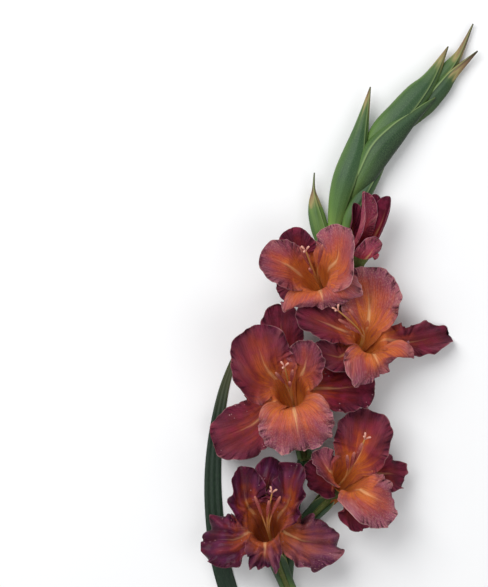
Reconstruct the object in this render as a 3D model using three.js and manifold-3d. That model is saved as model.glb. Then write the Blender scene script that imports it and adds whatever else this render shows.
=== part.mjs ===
// A cut gladiolus spike laid on its back on a flat surface, its open blooms facing up.
// Millimetres. +Z is up, away from the surface, and +Y runs along the spike towards its tip.
import * as THREE from 'three';
import { mergeVertices } from 'three/addons/utils/BufferGeometryUtils.js';
import Module from 'manifold-3d';

const wasm = await Module();
wasm.setup();

// Driving dimensions
const SHIFT = [-87, 103, 0]; // moves the drawing's zero to the middle of the whole spike
const PETAL_THICKNESS = 0.8;
const BRACT_THICKNESS = 0.9;
const GAP = 0.3; // left between two pieces that touch
const CLEARANCE = 0.5; // cut from a piece where another would cross it
const TUBE_BASE_RADIUS = 3.4;
const THROAT_RADIUS = 14.5;
const TUBE_ELBOW = 0.55; // how far below the throat the tube turns, as a share of its length
const TUBE_FLARE = 2;
const TUBE_WALL_END = 0.97;
const TUBE_SIDES = 8;
const TUBE_ROWS = 3;
const CLAW_START = 0.42; // how far up the flower's tube the petals come free of it
const CLAW_MIDDLE = 0.74;
const CLAW_END = 0.5; // the share of a petal's line that lies in the tube
const CLAW_ROOT = 0.39; // the petal's root sits in the wall of the tube, just below its rim
const WALL_INSIDE = 0.6; // the tube's wall, from inside to outside of the inner petals' middle
const WALL_OUTSIDE = 1.7;
const BLADE_END = 0.985; // the blade stops just short of its tip, so that its edge stays closed
const BLADE_OPENS = 0.45; // by here the blade has lost the tube's curve
const BASE_BROADNESS = 0.7; // under 1, so that the blade broadens soon above the throat
const INNER_WIDEST = 0.5;
const OUTER_WIDEST = 0.52;
const INNER_TIP_POWER = 2.6;
const OUTER_TIP_POWER = 2.2;
const TIP_ROUNDING = 0.6;
const RUFFLE = 2.2;
const RUFFLE_WAVES = 3.4;
const INNER_CLAW_ANGLE = 1.15; // radians of the tube's wall that one petal covers to each side
const OUTER_CLAW_ANGLE = 0.9;
const OUTER_OFFSET = 1.1; // the outer petals lie this far outside the inner ones in the tube
const STEM_RADIUS_FOOT = 5.5;
const STEM_RADIUS_TIP = 1.6;
const PETAL_COLUMNS = 4;
const INNER_ROWS = 6;
const OUTER_ROWS = 4;

const STAMEN_FOOT_RADIUS = 3;
const STAMEN_FOOT_HEIGHT = 5;
const STAMEN_FOOT_SIDES = 6;
const FILAMENT_RADIUS = 0.75;
const STYLE_RADIUS = 0.65;
const ANTHER_LENGTH = 17;
const ANTHER_RADIUS = 1.7;
const STIGMA_LENGTH = 6;
const ROD_SIDES = 3;
const ROD_ROWS = 3;
const STAMEN_ROWS = 4;
const ANTHER_FROM = 0.66; // the share of a stamen below its anther
const STIGMA_LOBES = 3;
const THROAT_LEAN = 0.17; // how far towards its place a filament leans where it passes the throat
const BRACT_ROWS = 3;
const BRACT_COLUMNS = 8;
const BRACT_STAND_OFF = 1.5;
const BRACT_WRAP = 2.75; // radians to each side of the longer bract's middle
const BRACT_LONG = 0.85; // how far up the tube the longer and the shorter bract reach
const BRACT_SHORT = 0.62;
const BRACT_NOTCH = 0.3;
const BRACT_ROOT = 0.02;
const BRACT_SHARPNESS = 1.5;
const BUD_ROWS = 8;
const BUD_SIDES = 8;
const BUD_POINT = 4; // the bud is flat up to near its tip, and round there
const STEM_ROWS = 16;
const STEM_SIDES = 8;
const STEM_TAPER = 1.1;
const STUB_RADIUS = 3.6;
const LEAF_ROWS = 14;
const LEAF_COLUMNS = 4;
const LEAF_HALF_WIDTH = 9;
const LEAF_THICKNESS = 1.2;
const LEAF_RIB = 1;
const LEAF_POINT = 3;
const LEAF_CLASP = 0.16; // the share of the leaf that turns from round the stem to flat
const LEAF_CLASP_RADIUS = 6.6;
const LEAF_CLASP_ANGLES = [0.9, 3.2];
const SURFACE_SIZE = 2000;
const SURFACE_DEPTH = 100;

const PETAL_LOOK = { color: 0xa8523f, roughness: 0.6 };
const STAMEN_LOOK = { color: 0xb9706a, roughness: 0.5 };
const BRACT_LOOK = { color: 0x5c8a45, roughness: 0.5 };
const STEM_LOOK = { color: 0x3f6a38, roughness: 0.5 };
const LEAF_LOOK = { color: 0x2d4a33, roughness: 0.55 };

// The stem's centre line, from the cut end to the tip, and how high its middle lies
const STEM_LINE = [
  [28, -452, 5.5], [34, -366, 5.2], [41, -246, 4.8], [55, -141, 4.6], [75, -52, 4.5],
  [86, 20, 4.6], [90, 66, 5], [99, 100, 6], [118, 134, 7], [142, 163, 8],
];

// Each bloom: where its tube leaves the stem, the middle of its throat, the way the throat faces,
// and its petals with the middle and the tip of the blade and the half widths to its two sides
const BLOOMS = {
  a: {
    foot: [84, -20, 12], throat: [64, 15, 44], faces: [-0.2, 0.35, 0.9], under: [0, 0.2, -1],
    petals: [
      { ring: 'inner', middle: [84, 33, 57], tip: [85, 62, 62], left: 33, right: 27, cup: 0.45 },
      { ring: 'inner', middle: [38, 26, 58], tip: [15, 36, 60], left: 21, right: 23, cup: 0.4 },
      { ring: 'inner', middle: [70, -3, 60], tip: [72, -13, 52], left: 39, right: 37, cup: -0.3 },
      { ring: 'outer', middle: [50, 36, 44], tip: [42, 59, 40], left: 17, right: 18, cup: 0.3 },
      { ring: 'outer', middle: [44, 8, 44], tip: [30, 2, 40], left: 16, right: 16, cup: 0.2 },
      { ring: 'outer', middle: [88, 16, 50], tip: [101, 11, 49], left: 16, right: 15, cup: 0.1 },
    ],
    stigma: [55, 38, 78], anthers: [[53, 36, 70], [60, 20, 66], [69, 38, 74]],
  },
  b: {
    foot: [71, -88, 12], throat: [112, -42, 38], faces: [0.15, 0.4, 0.9], under: [0, 0.2, -1],
    petals: [
      { ring: 'inner', middle: [113, -8, 36], tip: [109, 24, 30], left: 29, right: 28, cup: 0.45 },
      { ring: 'inner', middle: [76, -28, 47], tip: [47, -16, 46], left: 19, right: 20, cup: 0.4 },
      { ring: 'inner', middle: [119, -61, 54], tip: [124, -73, 46], left: 32, right: 40, cup: -0.2 },
      { ring: 'outer', middle: [153, -43, 26], tip: [190, -36, 0.6], left: 15, right: 15, cup: 0.3 },
      { ring: 'outer', middle: [84, -56, 50], tip: [60, -50, 47], left: 16, right: 15, cup: 0.2 },
      { ring: 'outer', middle: [88, -18, 30], tip: [84, 6, 24], left: 16, right: 16, cup: 0.2 },
    ],
    stigma: [84, -15, 64], anthers: [[98, -20, 58], [96, -32, 54], [90, -27, 60]],
  },
  c: {
    foot: [56, -152, 12], throat: [42, -88, 46], faces: [-0.1, 0.35, 0.94], radius: 16.5,
    under: [0, 0.2, -1],
    petals: [
      { ring: 'inner', middle: [18, -63, 60], tip: [8, -29, 66], left: 28, right: 34, cup: 0.4 },
      { ring: 'inner', middle: [55, -64, 53], tip: [58, -42, 58], left: 20, right: 19, cup: 0.5 },
      { ring: 'inner', middle: [47, -116, 61], tip: [51, -142, 48], left: 35, right: 34, cup: -0.12 },
      { ring: 'outer', middle: [34, -40, 40], tip: [33, -9, 34], left: 20, right: 20, cup: 0.3 },
      { ring: 'outer', middle: [88, -84, 43], tip: [118, -84, 33], left: 26, right: 29, cup: 0.2 },
      { ring: 'outer', middle: [5, -119, 35], tip: [-30, -135, 18], left: 25, right: 28, cup: 0.1 },
    ],
    stigma: [36, -65, 84], anthers: [[31, -74, 76], [41, -81, 74], [43, -72, 78]],
  },
  d: {
    foot: [50, -214, 12], throat: [93, -166, 42], faces: [0.25, 0.35, 0.9], under: [0, 0.2, -1],
    petals: [
      { ring: 'inner', middle: [107, -137, 42], tip: [114, -105, 34], left: 25, right: 28, cup: 0.4 },
      { ring: 'inner', middle: [75, -157, 54], tip: [64, -141, 52], left: 16, right: 17, cup: 0.5 },
      { ring: 'inner', middle: [113, -182, 56], tip: [137, -194, 42], left: 28, right: 26, cup: -0.15 },
      { ring: 'outer', middle: [74, -168, 38], tip: [57, -152, 34], left: 17, right: 17, cup: 0.2 },
      { ring: 'outer', middle: [128, -162, 34], tip: [146, -166, 22], left: 18, right: 18, cup: 0.2 },
      { ring: 'outer', middle: [102, -196, 36], tip: [116, -207, 24], left: 17, right: 17, cup: 0.2 },
    ],
    stigma: [108, -130, 66], anthers: [[103, -140, 62], [97, -148, 60], [92, -150, 62]],
  },
  e: {
    foot: [42, -272, 12], throat: [20, -211, 42], faces: [-0.1, 0.45, 0.88], under: [0, 0.2, -1],
    petals: [
      { ring: 'inner', middle: [2, -186, 50], tip: [0, -155, 54], left: 19, right: 19, cup: 0.7 },
      { ring: 'inner', middle: [40, -186, 50], tip: [46, -152, 50], left: 19, right: 20, cup: 0.7 },
      { ring: 'inner', middle: [19, -233, 54], tip: [18, -246, 46], left: 18, right: 18, cup: 0.9 },
      { ring: 'outer', middle: [20, -178, 36], tip: [28, -149, 30], left: 17, right: 17, cup: 0.2 },
      { ring: 'outer', middle: [56, -222, 42], tip: [88, -226, 30], left: 26, right: 25, cup: -0.2 },
      { ring: 'outer', middle: [-12, -221, 40], tip: [-39, -222, 28], left: 25, right: 26, cup: -0.2 },
    ],
    stigma: [25, -178, 66], anthers: [[12, -188, 60], [22, -192, 58], [30, -188, 60]],
  },
  half_open: {
    foot: [93, 12, 12], throat: [106, 38, 28], faces: [0.25, 0.75, 0.5], radius: 8.5,
    under: [0.2, 0, -1],
    petals: [
      { ring: 'inner', middle: [107, 66, 40], tip: [108, 92, 38], left: 13, right: 13, cup: 1.6 },
      { ring: 'inner', middle: [124, 64, 34], tip: [131, 88, 32], left: 12, right: 12, cup: 1.4 },
      { ring: 'inner', middle: [117, 68, 24], tip: [119, 90, 26], left: 10, right: 10, cup: 1.2 },
      { ring: 'outer', middle: [112, 37, 42], tip: [124, 46, 38], left: 12, right: 12, cup: 0.5 },
      { ring: 'outer', middle: [100, 60, 28], tip: [100, 82, 30], left: 9, right: 9, cup: 1.0 },
    ],
  },
};

// The petals' order from the front to the back, where blooms lie over each other
const BLOOM_ORDER = ['c', 'a', 'b', 'd', 'e', 'half_open'];

// The closed buds in the green tip, from the front to the back: the middle line of each bract,
// its half width along that line, and its depth as a share of that width
const BUDS = [
  {
    name: 'bract_front', depth: 0.62,
    line: [[82, 60, 13], [87, 86, 16], [93, 106, 17], [101, 128, 15], [107, 152, 14], [115, 188, 13]],
    half: [6, 10, 12, 11, 6.5, 0.6],
  },
  {
    name: 'bract_middle', depth: 0.6,
    line: [[97, 88, 14], [110, 109, 17], [122, 129, 18], [137, 145, 17], [151, 158, 16], [174, 178, 15]],
    half: [7, 11, 13, 10.5, 6.5, 0.6],
  },
  {
    name: 'bract_upper', depth: 0.5,
    line: [[112, 125, 12], [127, 147, 12], [142, 163, 13], [157, 180, 12], [170, 196, 11], [186, 225, 9]],
    half: [8, 12, 12.5, 11.5, 7, 0.6],
  },
  {
    name: 'bract_lower', depth: 0.7,
    line: [[92, 48, 12], [96, 68, 15], [103, 81, 15], [111, 94, 14], [120, 108, 13], [130, 122, 12]],
    half: [4.5, 6.5, 7.5, 7, 5, 0.6],
  },
  {
    name: 'bract_right', depth: 0.5,
    line: [[150, 156, 8], [165, 170, 9], [174, 180, 9], [182, 189, 9], [191, 200, 8], [213, 221, 7]],
    half: [6, 8, 8, 7, 4.5, 0.6],
  },
  {
    name: 'bract_top', depth: 0.5,
    line: [[160, 176, 6], [172, 190, 6], [182, 201, 6], [190, 210, 6], [198, 222, 5], [209, 246, 4]],
    half: [6, 7, 7, 5.5, 3, 0.6],
  },
  {
    name: 'bract_left', depth: 0.5,
    line: [[76, 40, 9], [70, 56, 10], [66, 72, 10], [64, 84, 10], [63.5, 95, 10], [64, 110, 11]],
    half: [6, 8, 7.5, 5, 1.6, 0.6],
  },
];

// The middle of the leaf, from where it clasps the stem to its tip
const LEAF_LINE = [
  [26, -395, 5], [16, -350, 3], [-4, -300, 0.8], [-21, -246, 0.1], [-28, -190, 0.1], [-27, -140, 0.1],
  [-19, -90, 0.1], [-6, -50, 0.4],
];

const UP = new THREE.Vector3(0, 0, 1);
const LINE_TRIES = 200;
const STEP = 1e-3; // a short way along a line, to find its direction
const vector = (list) => new THREE.Vector3(...list);

function mix(from, to, share) {
  return from + (to - from) * share;
}

function smooth(share) {
  const held = Math.min(Math.max(share, 0), 1);
  return held * held * (3 - 2 * held);
}

// A smooth line through the given points, as a function of 0 to 1
function lineThrough(points) {
  const last = points.length - 1;
  return (share) => {
    const place = Math.min(Math.max(share, 0), 1) * last;
    const index = Math.min(Math.floor(place), last - 1);
    const t = place - index;
    const before = points[Math.max(index - 1, 0)];
    const from = points[index];
    const to = points[index + 1];
    const after = points[Math.min(index + 2, last)];
    const ease = (key) => {
      const slopeIn = (to[key] - before[key]) / 2;
      const slopeOut = (after[key] - from[key]) / 2;
      const t2 = t * t;
      const t3 = t2 * t;
      return (2 * t3 - 3 * t2 + 1) * from[key] + (t3 - 2 * t2 + t) * slopeIn
        + (3 * t2 - 2 * t3) * to[key] + (t3 - t2) * slopeOut;
    };
    return new THREE.Vector3(ease('x'), ease('y'), ease('z'));
  };
}

// The point, the side direction and the face direction at each share of a line, without any spin
function framesAt(line, firstSide, shares) {
  let side = firstSide.clone();
  return shares.map((share) => {
    const ahead = line(Math.min(share + STEP, 1));
    const along = ahead.sub(line(Math.max(share - STEP, 0))).normalize();
    side = side.clone().addScaledVector(along, -side.dot(along)).normalize();
    const face = new THREE.Vector3().crossVectors(along, side);
    return { share, point: line(share), side, face };
  });
}

function evenShares(count) {
  return Array.from({ length: count + 1 }, (_, i) => i / count);
}

// A closed body from a grid of front and back points, with the same diagonals on both faces
function sheetSolid(front, back) {
  const rows = front.length;
  const columns = front[0].length;
  const positions = [...front.flat(), ...back.flat()].flatMap((p) => [p.x, p.y, p.z]);
  const frontAt = (r, c) => r * columns + c;
  const backAt = (r, c) => rows * columns + frontAt(r, c);
  const triangles = [];
  for (let r = 0; r < rows - 1; r += 1) {
    for (let c = 0; c < columns - 1; c += 1) {
      triangles.push(frontAt(r, c), frontAt(r, c + 1), frontAt(r + 1, c + 1));
      triangles.push(frontAt(r, c), frontAt(r + 1, c + 1), frontAt(r + 1, c));
      triangles.push(backAt(r, c), backAt(r + 1, c + 1), backAt(r, c + 1));
      triangles.push(backAt(r, c), backAt(r + 1, c), backAt(r + 1, c + 1));
    }
  }
  const wall = (frontOne, frontTwo, backOne, backTwo) => {
    triangles.push(frontTwo, frontOne, backOne, frontTwo, backOne, backTwo);
  };
  for (let r = 0; r < rows - 1; r += 1) {
    wall(frontAt(r + 1, 0), frontAt(r, 0), backAt(r + 1, 0), backAt(r, 0));
    const c = columns - 1;
    wall(frontAt(r, c), frontAt(r + 1, c), backAt(r, c), backAt(r + 1, c));
  }
  for (let c = 0; c < columns - 1; c += 1) {
    wall(frontAt(0, c), frontAt(0, c + 1), backAt(0, c), backAt(0, c + 1));
    const r = rows - 1;
    wall(frontAt(r, c + 1), frontAt(r, c), backAt(r, c + 1), backAt(r, c));
  }
  return solidFrom(positions, triangles);
}

function solidFrom(positions, triangles) {
  return new wasm.Manifold(new wasm.Mesh({
    numProp: 3,
    vertProperties: new Float32Array(positions),
    triVerts: new Uint32Array(triangles),
  }));
}

// The solid of any closed three.js geometry
function solidOf(geometry) {
  geometry.deleteAttribute('normal');
  geometry.deleteAttribute('uv');
  const merged = mergeVertices(geometry);
  return solidFrom(merged.attributes.position.array, merged.index.array);
}

function joined(solids) {
  return solids.reduce((whole, next) => whole.add(next));
}

// A closed body through rings of points, with a flat cap on each end
function ringSolid(rings) {
  const sides = rings[0].length;
  const positions = rings.flat().flatMap((p) => [p.x, p.y, p.z]);
  const triangles = [];
  for (let i = 0; i < rings.length - 1; i += 1) {
    for (let k = 0; k < sides; k += 1) {
      const here = i * sides + k;
      const next = i * sides + ((k + 1) % sides);
      triangles.push(here, next, next + sides, here, next + sides, here + sides);
    }
  }
  const end = (rings.length - 1) * sides;
  for (let k = 1; k < sides - 1; k += 1) {
    triangles.push(0, k + 1, k, end, end + k, end + k + 1);
  }
  return solidFrom(positions, triangles);
}

// A body along a line, with half width and half depth given as functions of 0 to 1
function sweptSolid(line, halfWidth, halfDepth, sides, count) {
  const along = line(STEP).sub(line(0)).normalize();
  const side = new THREE.Vector3().crossVectors(along, UP).normalize();
  const frames = framesAt(line, side, evenShares(count));
  const rings = frames.map(({ share, point, side: across, face }) => (
    Array.from({ length: sides }, (_, k) => {
      const angle = (2 * Math.PI * k) / sides;
      return point.clone()
        .addScaledVector(across, halfWidth(share) * Math.cos(angle))
        .addScaledVector(face, halfDepth(share) * Math.sin(angle));
    })
  ));
  return ringSolid(rings);
}

function rodSolid(line, radiusAt, sides, count) {
  return sweptSolid(line, radiusAt, radiusAt, sides, count);
}

// The middle of a flower's curved tube, from its foot on the stem to its throat
function tubeAxis(bloom) {
  const foot = vector(bloom.foot);
  const throat = vector(bloom.throat);
  const faces = vector(bloom.faces).normalize();
  const elbow = throat.clone().addScaledVector(faces, -TUBE_ELBOW * foot.distanceTo(throat));
  return (share) => {
    const near = foot.clone().lerp(elbow, share);
    const far = elbow.clone().lerp(throat, share);
    return near.lerp(far, share);
  };
}

function tubeRadius(bloom, share) {
  return mix(TUBE_BASE_RADIUS, bloom.radius ?? THROAT_RADIUS, share ** TUBE_FLARE);
}

// The line up the middle of one petal: two points on the tube's wall, the rim, the blade and the tip
function petalLine(bloom, petal) {
  const axis = tubeAxis(bloom);
  const throat = vector(bloom.throat);
  const faces = vector(bloom.faces).normalize();
  const middle = vector(petal.middle);
  const outward = middle.clone().sub(throat);
  outward.addScaledVector(faces, -outward.dot(faces)).normalize();
  const offset = petal.ring === 'outer' ? OUTER_OFFSET : 0;
  const onWall = (share) => {
    const along = axis(share).sub(axis(share - STEP)).normalize();
    const away = outward.clone().addScaledVector(along, -outward.dot(along)).normalize();
    return axis(share).addScaledVector(away, tubeRadius(bloom, share) + offset);
  };
  const points = [onWall(CLAW_START), onWall(CLAW_MIDDLE), onWall(1), middle, vector(petal.tip)];
  const side = new THREE.Vector3().crossVectors(faces, outward);
  return { line: lineThrough(points), side };
}

// Shares of the petal's line that the rows stand at: one in the claw, closer towards the tip
function petalShares(rows) {
  const blade = evenShares(rows).map((share) => Math.sin((Math.PI / 2) * share) * BLADE_END);
  return [CLAW_ROOT, ...blade.map((share) => mix(CLAW_END, 1, share))];
}

// Half width of the blade, 0 at the throat's rim to 1 at the tip
function bladeHalfWidth(petal, full, rim, blade) {
  const widest = petal.ring === 'outer' ? OUTER_WIDEST : INNER_WIDEST;
  if (blade < widest) {
    return mix(rim, full, Math.sin((Math.PI / 2) * (blade / widest)) ** BASE_BROADNESS);
  }
  const past = (blade - widest) / (1 - widest);
  const power = petal.ring === 'outer' ? OUTER_TIP_POWER : INNER_TIP_POWER;
  return full * (1 - past ** power) ** TIP_ROUNDING;
}

function petalSolid(bloom, petal, grow = 0) {
  const { line, side } = petalLine(bloom, petal);
  const throatRadius = bloom.radius ?? THROAT_RADIUS;
  const outer = petal.ring === 'outer';
  const frames = framesAt(line, side, petalShares(outer ? OUTER_ROWS : INNER_ROWS));
  const clawAngle = outer ? OUTER_CLAW_ANGLE : INNER_CLAW_ANGLE;
  const grid = frames.map(({ share, point, side: across, face }) => {
    const blade = (share - CLAW_END) / (1 - CLAW_END);
    const wallShare = mix(CLAW_START, 1, Math.min(share / CLAW_END, 1));
    const radius = tubeRadius(bloom, wallShare);
    const open = smooth(blade / BLADE_OPENS);
    const row = [];
    for (let c = 0; c <= PETAL_COLUMNS; c += 1) {
      const u = (2 * c) / PETAL_COLUMNS - 1;
      const full = (u < 0 ? petal.left : petal.right) + grow;
      const rim = throatRadius * clawAngle;
      const half = blade <= 0 ? radius * clawAngle : bladeHalfWidth(petal, full, rim, blade);
      const curl = mix(clawAngle, petal.cup, open);
      const reach = (half * Math.sin(u * curl)) / curl;
      const rise = (half * (1 - Math.cos(u * curl))) / curl;
      const wave = RUFFLE * open * u * u * Math.sin(RUFFLE_WAVES * Math.PI * blade + 2 * u + petal.tip[0]);
      row.push(point.clone().addScaledVector(across, reach).addScaledVector(face, rise + wave));
    }
    return row;
  });
  return sheetFromGrid(grid, PETAL_THICKNESS + 2 * grow);
}

// Two faces half a thickness to each side of a grid of points
function sheetFromGrid(grid, thickness) {
  const rows = grid.length;
  const columns = grid[0].length;
  const front = [];
  const back = [];
  for (let r = 0; r < rows; r += 1) {
    front.push([]);
    back.push([]);
    for (let c = 0; c < columns; c += 1) {
      const up = grid[Math.min(r + 1, rows - 1)][c].clone().sub(grid[Math.max(r - 1, 0)][c]);
      const over = grid[r][Math.min(c + 1, columns - 1)].clone().sub(grid[r][Math.max(c - 1, 0)]);
      const normal = new THREE.Vector3().crossVectors(over, up).normalize();
      front[r].push(grid[r][c].clone().addScaledVector(normal, thickness / 2));
      back[r].push(grid[r][c].clone().addScaledVector(normal, -thickness / 2));
    }
  }
  return sheetSolid(front, back);
}

// Tube and petals, grown together
function perianthSolid(bloom, grow = 0) {
  const axis = tubeAxis(bloom);
  const tube = rodSolid(
    (share) => axis(share * TUBE_WALL_END),
    (share) => tubeRadius(bloom, share * TUBE_WALL_END) + WALL_OUTSIDE + grow,
    TUBE_SIDES,
    TUBE_ROWS,
  );
  const hollow = rodSolid(
    (share) => axis(mix(CLAW_START, 1, share)),
    (share) => tubeRadius(bloom, mix(CLAW_START, 1, share)) - WALL_INSIDE - grow,
    TUBE_SIDES,
    TUBE_ROWS,
  );
  const petals = bloom.petals.map((petal) => petalSolid(bloom, petal, grow));
  return joined([tube.subtract(hollow), ...petals]);
}

// Three filaments that end in long anthers, and the style with its three lobes, on one small foot
function stamensSolid(bloom) {
  const axis = tubeAxis(bloom);
  const along = axis(CLAW_START + STEP).sub(axis(CLAW_START)).normalize();
  const start = axis(CLAW_START).addScaledVector(along, GAP);
  const crown = start.clone().addScaledVector(along, STAMEN_FOOT_HEIGHT);
  const upToThroat = vector(bloom.throat).sub(crown);
  const parts = [rodSolid(lineThrough([start, crown]), () => STAMEN_FOOT_RADIUS, STAMEN_FOOT_SIDES, 1)];
  // The points that a filament or the style passes on its way to its place outside the throat
  const pathTo = (place) => {
    const aside = place.clone().sub(crown);
    aside.addScaledVector(along, -aside.dot(along)).normalize();
    const root = crown.clone().addScaledVector(along, -FILAMENT_RADIUS)
      .addScaledVector(aside, STAMEN_FOOT_RADIUS - 2 * FILAMENT_RADIUS);
    return [root, root.clone().add(upToThroat).lerp(place, THROAT_LEAN)];
  };
  const stamenRadius = (share) => {
    const anther = (share - ANTHER_FROM) / (1 - ANTHER_FROM);
    return anther <= 0 ? FILAMENT_RADIUS : mix(FILAMENT_RADIUS, ANTHER_RADIUS, Math.sin(Math.PI * anther));
  };
  bloom.anthers.map(vector).forEach((middle) => {
    const [root, bend] = pathTo(middle);
    const tip = middle.clone().addScaledVector(middle.clone().sub(bend).normalize(), ANTHER_LENGTH / 2);
    parts.push(rodSolid(lineThrough([root, bend, tip]), stamenRadius, ROD_SIDES, STAMEN_ROWS));
  });
  const stigma = vector(bloom.stigma);
  const [root, bend] = pathTo(stigma);
  parts.push(rodSolid(lineThrough([root, bend, stigma]), () => STYLE_RADIUS, ROD_SIDES, ROD_ROWS));
  const ahead = stigma.clone().sub(bend).normalize();
  const aside = new THREE.Vector3().crossVectors(ahead, UP).normalize();
  for (let k = 0; k < STIGMA_LOBES; k += 1) {
    const turned = aside.clone().applyAxisAngle(ahead, (2 * Math.PI * k) / STIGMA_LOBES);
    const end = stigma.clone().addScaledVector(turned.add(ahead).normalize(), STIGMA_LENGTH);
    const sunk = stigma.clone().addScaledVector(ahead, -FILAMENT_RADIUS);
    parts.push(rodSolid(lineThrough([sunk, end]), () => STYLE_RADIUS, ROD_SIDES, 1));
  }
  return joined(parts);
}

// The pair of green bracts that clasps the tube of a bloom: a sleeve with a long and a short point
function spatheSolid(bloom) {
  const axis = tubeAxis(bloom);
  const under = vector(bloom.under);
  const radiusAt = (share) => tubeRadius(bloom, share) + WALL_OUTSIDE + BRACT_STAND_OFF;
  const grid = evenShares(BRACT_ROWS).map((row) => evenShares(BRACT_COLUMNS).map((column) => {
    const angle = mix(-BRACT_WRAP, BRACT_WRAP, column);
    const point = Math.abs(Math.cos(angle)) ** BRACT_SHARPNESS;
    const reach = mix(BRACT_NOTCH, Math.cos(angle) > 0 ? BRACT_LONG : BRACT_SHORT, point);
    const share = mix(BRACT_ROOT, reach, row);
    const middle = axis(share);
    const along = axis(share + STEP).sub(axis(share - STEP)).normalize();
    const away = under.clone().addScaledVector(along, -under.dot(along)).normalize();
    const across = new THREE.Vector3().crossVectors(along, away);
    return middle.addScaledVector(away, Math.cos(angle) * radiusAt(share))
      .addScaledVector(across, Math.sin(angle) * radiusAt(share));
  }));
  return sheetFromGrid(grid, BRACT_THICKNESS);
}

// A closed bud in its green bract: a long pointed body, flatter than it is wide
function budSolid(bud, grow = 0) {
  const line = lineThrough(bud.line.map(vector));
  const halves = lineThrough(bud.half.map((half) => new THREE.Vector3(half, 0, 0)));
  const halfWidth = (share) => halves(share).x + grow;
  const halfDepth = (share) => halfWidth(share) * mix(bud.depth, 1, share ** BUD_POINT);
  return sweptSolid(line, halfWidth, halfDepth, BUD_SIDES, BUD_ROWS);
}

function stemSolid(grow = 0) {
  const line = lineThrough(STEM_LINE.map(vector));
  const radiusAt = (share) => mix(STEM_RADIUS_FOOT, STEM_RADIUS_TIP, share ** STEM_TAPER) + grow;
  const stalk = rodSolid(line, radiusAt, STEM_SIDES, STEM_ROWS);
  const stubs = Object.values(BLOOMS).map((bloom) => {
    const foot = vector(bloom.foot);
    const root = nearestOnLine(line, foot);
    const end = foot.clone().addScaledVector(foot.clone().sub(root).normalize(), grow);
    return rodSolid(lineThrough([root, end]), () => STUB_RADIUS + grow, STEM_SIDES, 1);
  });
  return joined([stalk, ...stubs]);
}

function nearestOnLine(line, place) {
  const tries = evenShares(LINE_TRIES).map((share) => line(share));
  return tries.reduce((best, next) => (next.distanceTo(place) < best.distanceTo(place) ? next : best));
}

// The sword-shaped leaf: its foot clasps the stem from above, and its ribbed blade lies on the surface
function leafSolid() {
  const line = lineThrough(LEAF_LINE.map(vector));
  const stalk = lineThrough(STEM_LINE.map(vector));
  const grid = evenShares(LEAF_ROWS).map((share) => {
    const point = line(share);
    const core = nearestOnLine(stalk, point);
    const half = LEAF_HALF_WIDTH * (1 - share ** LEAF_POINT) ** 0.7 + LEAF_THICKNESS / 4;
    const free = smooth(share / LEAF_CLASP);
    return evenShares(LEAF_COLUMNS).map((column) => {
      const u = 2 * column - 1;
      const rib = LEAF_RIB * Math.cos(u * Math.PI * 1.5) ** 2 * (1 - share);
      const turn = mix(...LEAF_CLASP_ANGLES, column);
      return new THREE.Vector3(
        mix(core.x + LEAF_CLASP_RADIUS * Math.cos(turn), point.x - u * half, free),
        point.y,
        mix(core.z + LEAF_CLASP_RADIUS * Math.sin(turn), point.z + rib, free),
      );
    });
  });
  return sheetFromGrid(grid, LEAF_THICKNESS);
}

// Keeps the largest outward shell: it drops loose scraps and fills sealed hollows
function oneBody(solid) {
  const shells = solid.decompose().sort((a, b) => b.volume() - a.volume());
  return shells[0];
}

// What lies below the surface is cut off flat
function trimmed(solid) {
  const box = new THREE.BoxGeometry(SURFACE_SIZE, SURFACE_SIZE, SURFACE_DEPTH);
  box.translate(0, 0, -SURFACE_DEPTH / 2);
  return solid.subtract(solidOf(box));
}

const group = new THREE.Group();

function addPiece(name, solid, look) {
  const mesh = oneBody(trimmed(solid)).getMesh();
  const geometry = new THREE.BufferGeometry();
  geometry.setAttribute('position', new THREE.BufferAttribute(mesh.vertProperties, 3));
  geometry.setIndex(new THREE.BufferAttribute(mesh.triVerts, 1));
  const material = new THREE.MeshStandardMaterial({ ...look, metalness: 0 });
  const piece = new THREE.Mesh(geometry, material);
  piece.name = name;
  group.add(piece);
}

const stemCutter = stemSolid(GAP);
addPiece('stem', stemSolid(), STEM_LOOK);
addPiece('leaf', leafSolid().subtract(stemCutter), LEAF_LOOK);

// Blooms in front are whole, and the ones behind them are cut clear where petals would cross
let inFront = null;
BLOOM_ORDER.forEach((key) => {
  const bloom = BLOOMS[key];
  let perianth = perianthSolid(bloom).subtract(stemCutter);
  if (inFront) {
    perianth = perianth.subtract(inFront);
  }
  const grown = perianthSolid(bloom, CLEARANCE);
  inFront = inFront ? inFront.add(grown) : grown;
  addPiece(`bloom_${key}_petals`, perianth, PETAL_LOOK);
});
BLOOM_ORDER.forEach((key) => {
  const bloom = BLOOMS[key];
  if (bloom.stigma) {
    addPiece(`bloom_${key}_stamens`, stamensSolid(bloom).subtract(inFront), STAMEN_LOOK);
  }
  const spathe = spatheSolid(bloom).subtract(stemCutter).subtract(inFront);
  addPiece(`bloom_${key}_spathe`, spathe, BRACT_LOOK);
});

let budsInFront = stemCutter.add(inFront);
BUDS.forEach((bud) => {
  addPiece(bud.name, budSolid(bud).subtract(budsInFront), BRACT_LOOK);
  budsInFront = budsInFront.add(budSolid(bud, GAP));
});

group.position.set(...SHIFT);
group.updateMatrixWorld(true);

export default group;
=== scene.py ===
import math
from functools import partial
from types import SimpleNamespace

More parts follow.
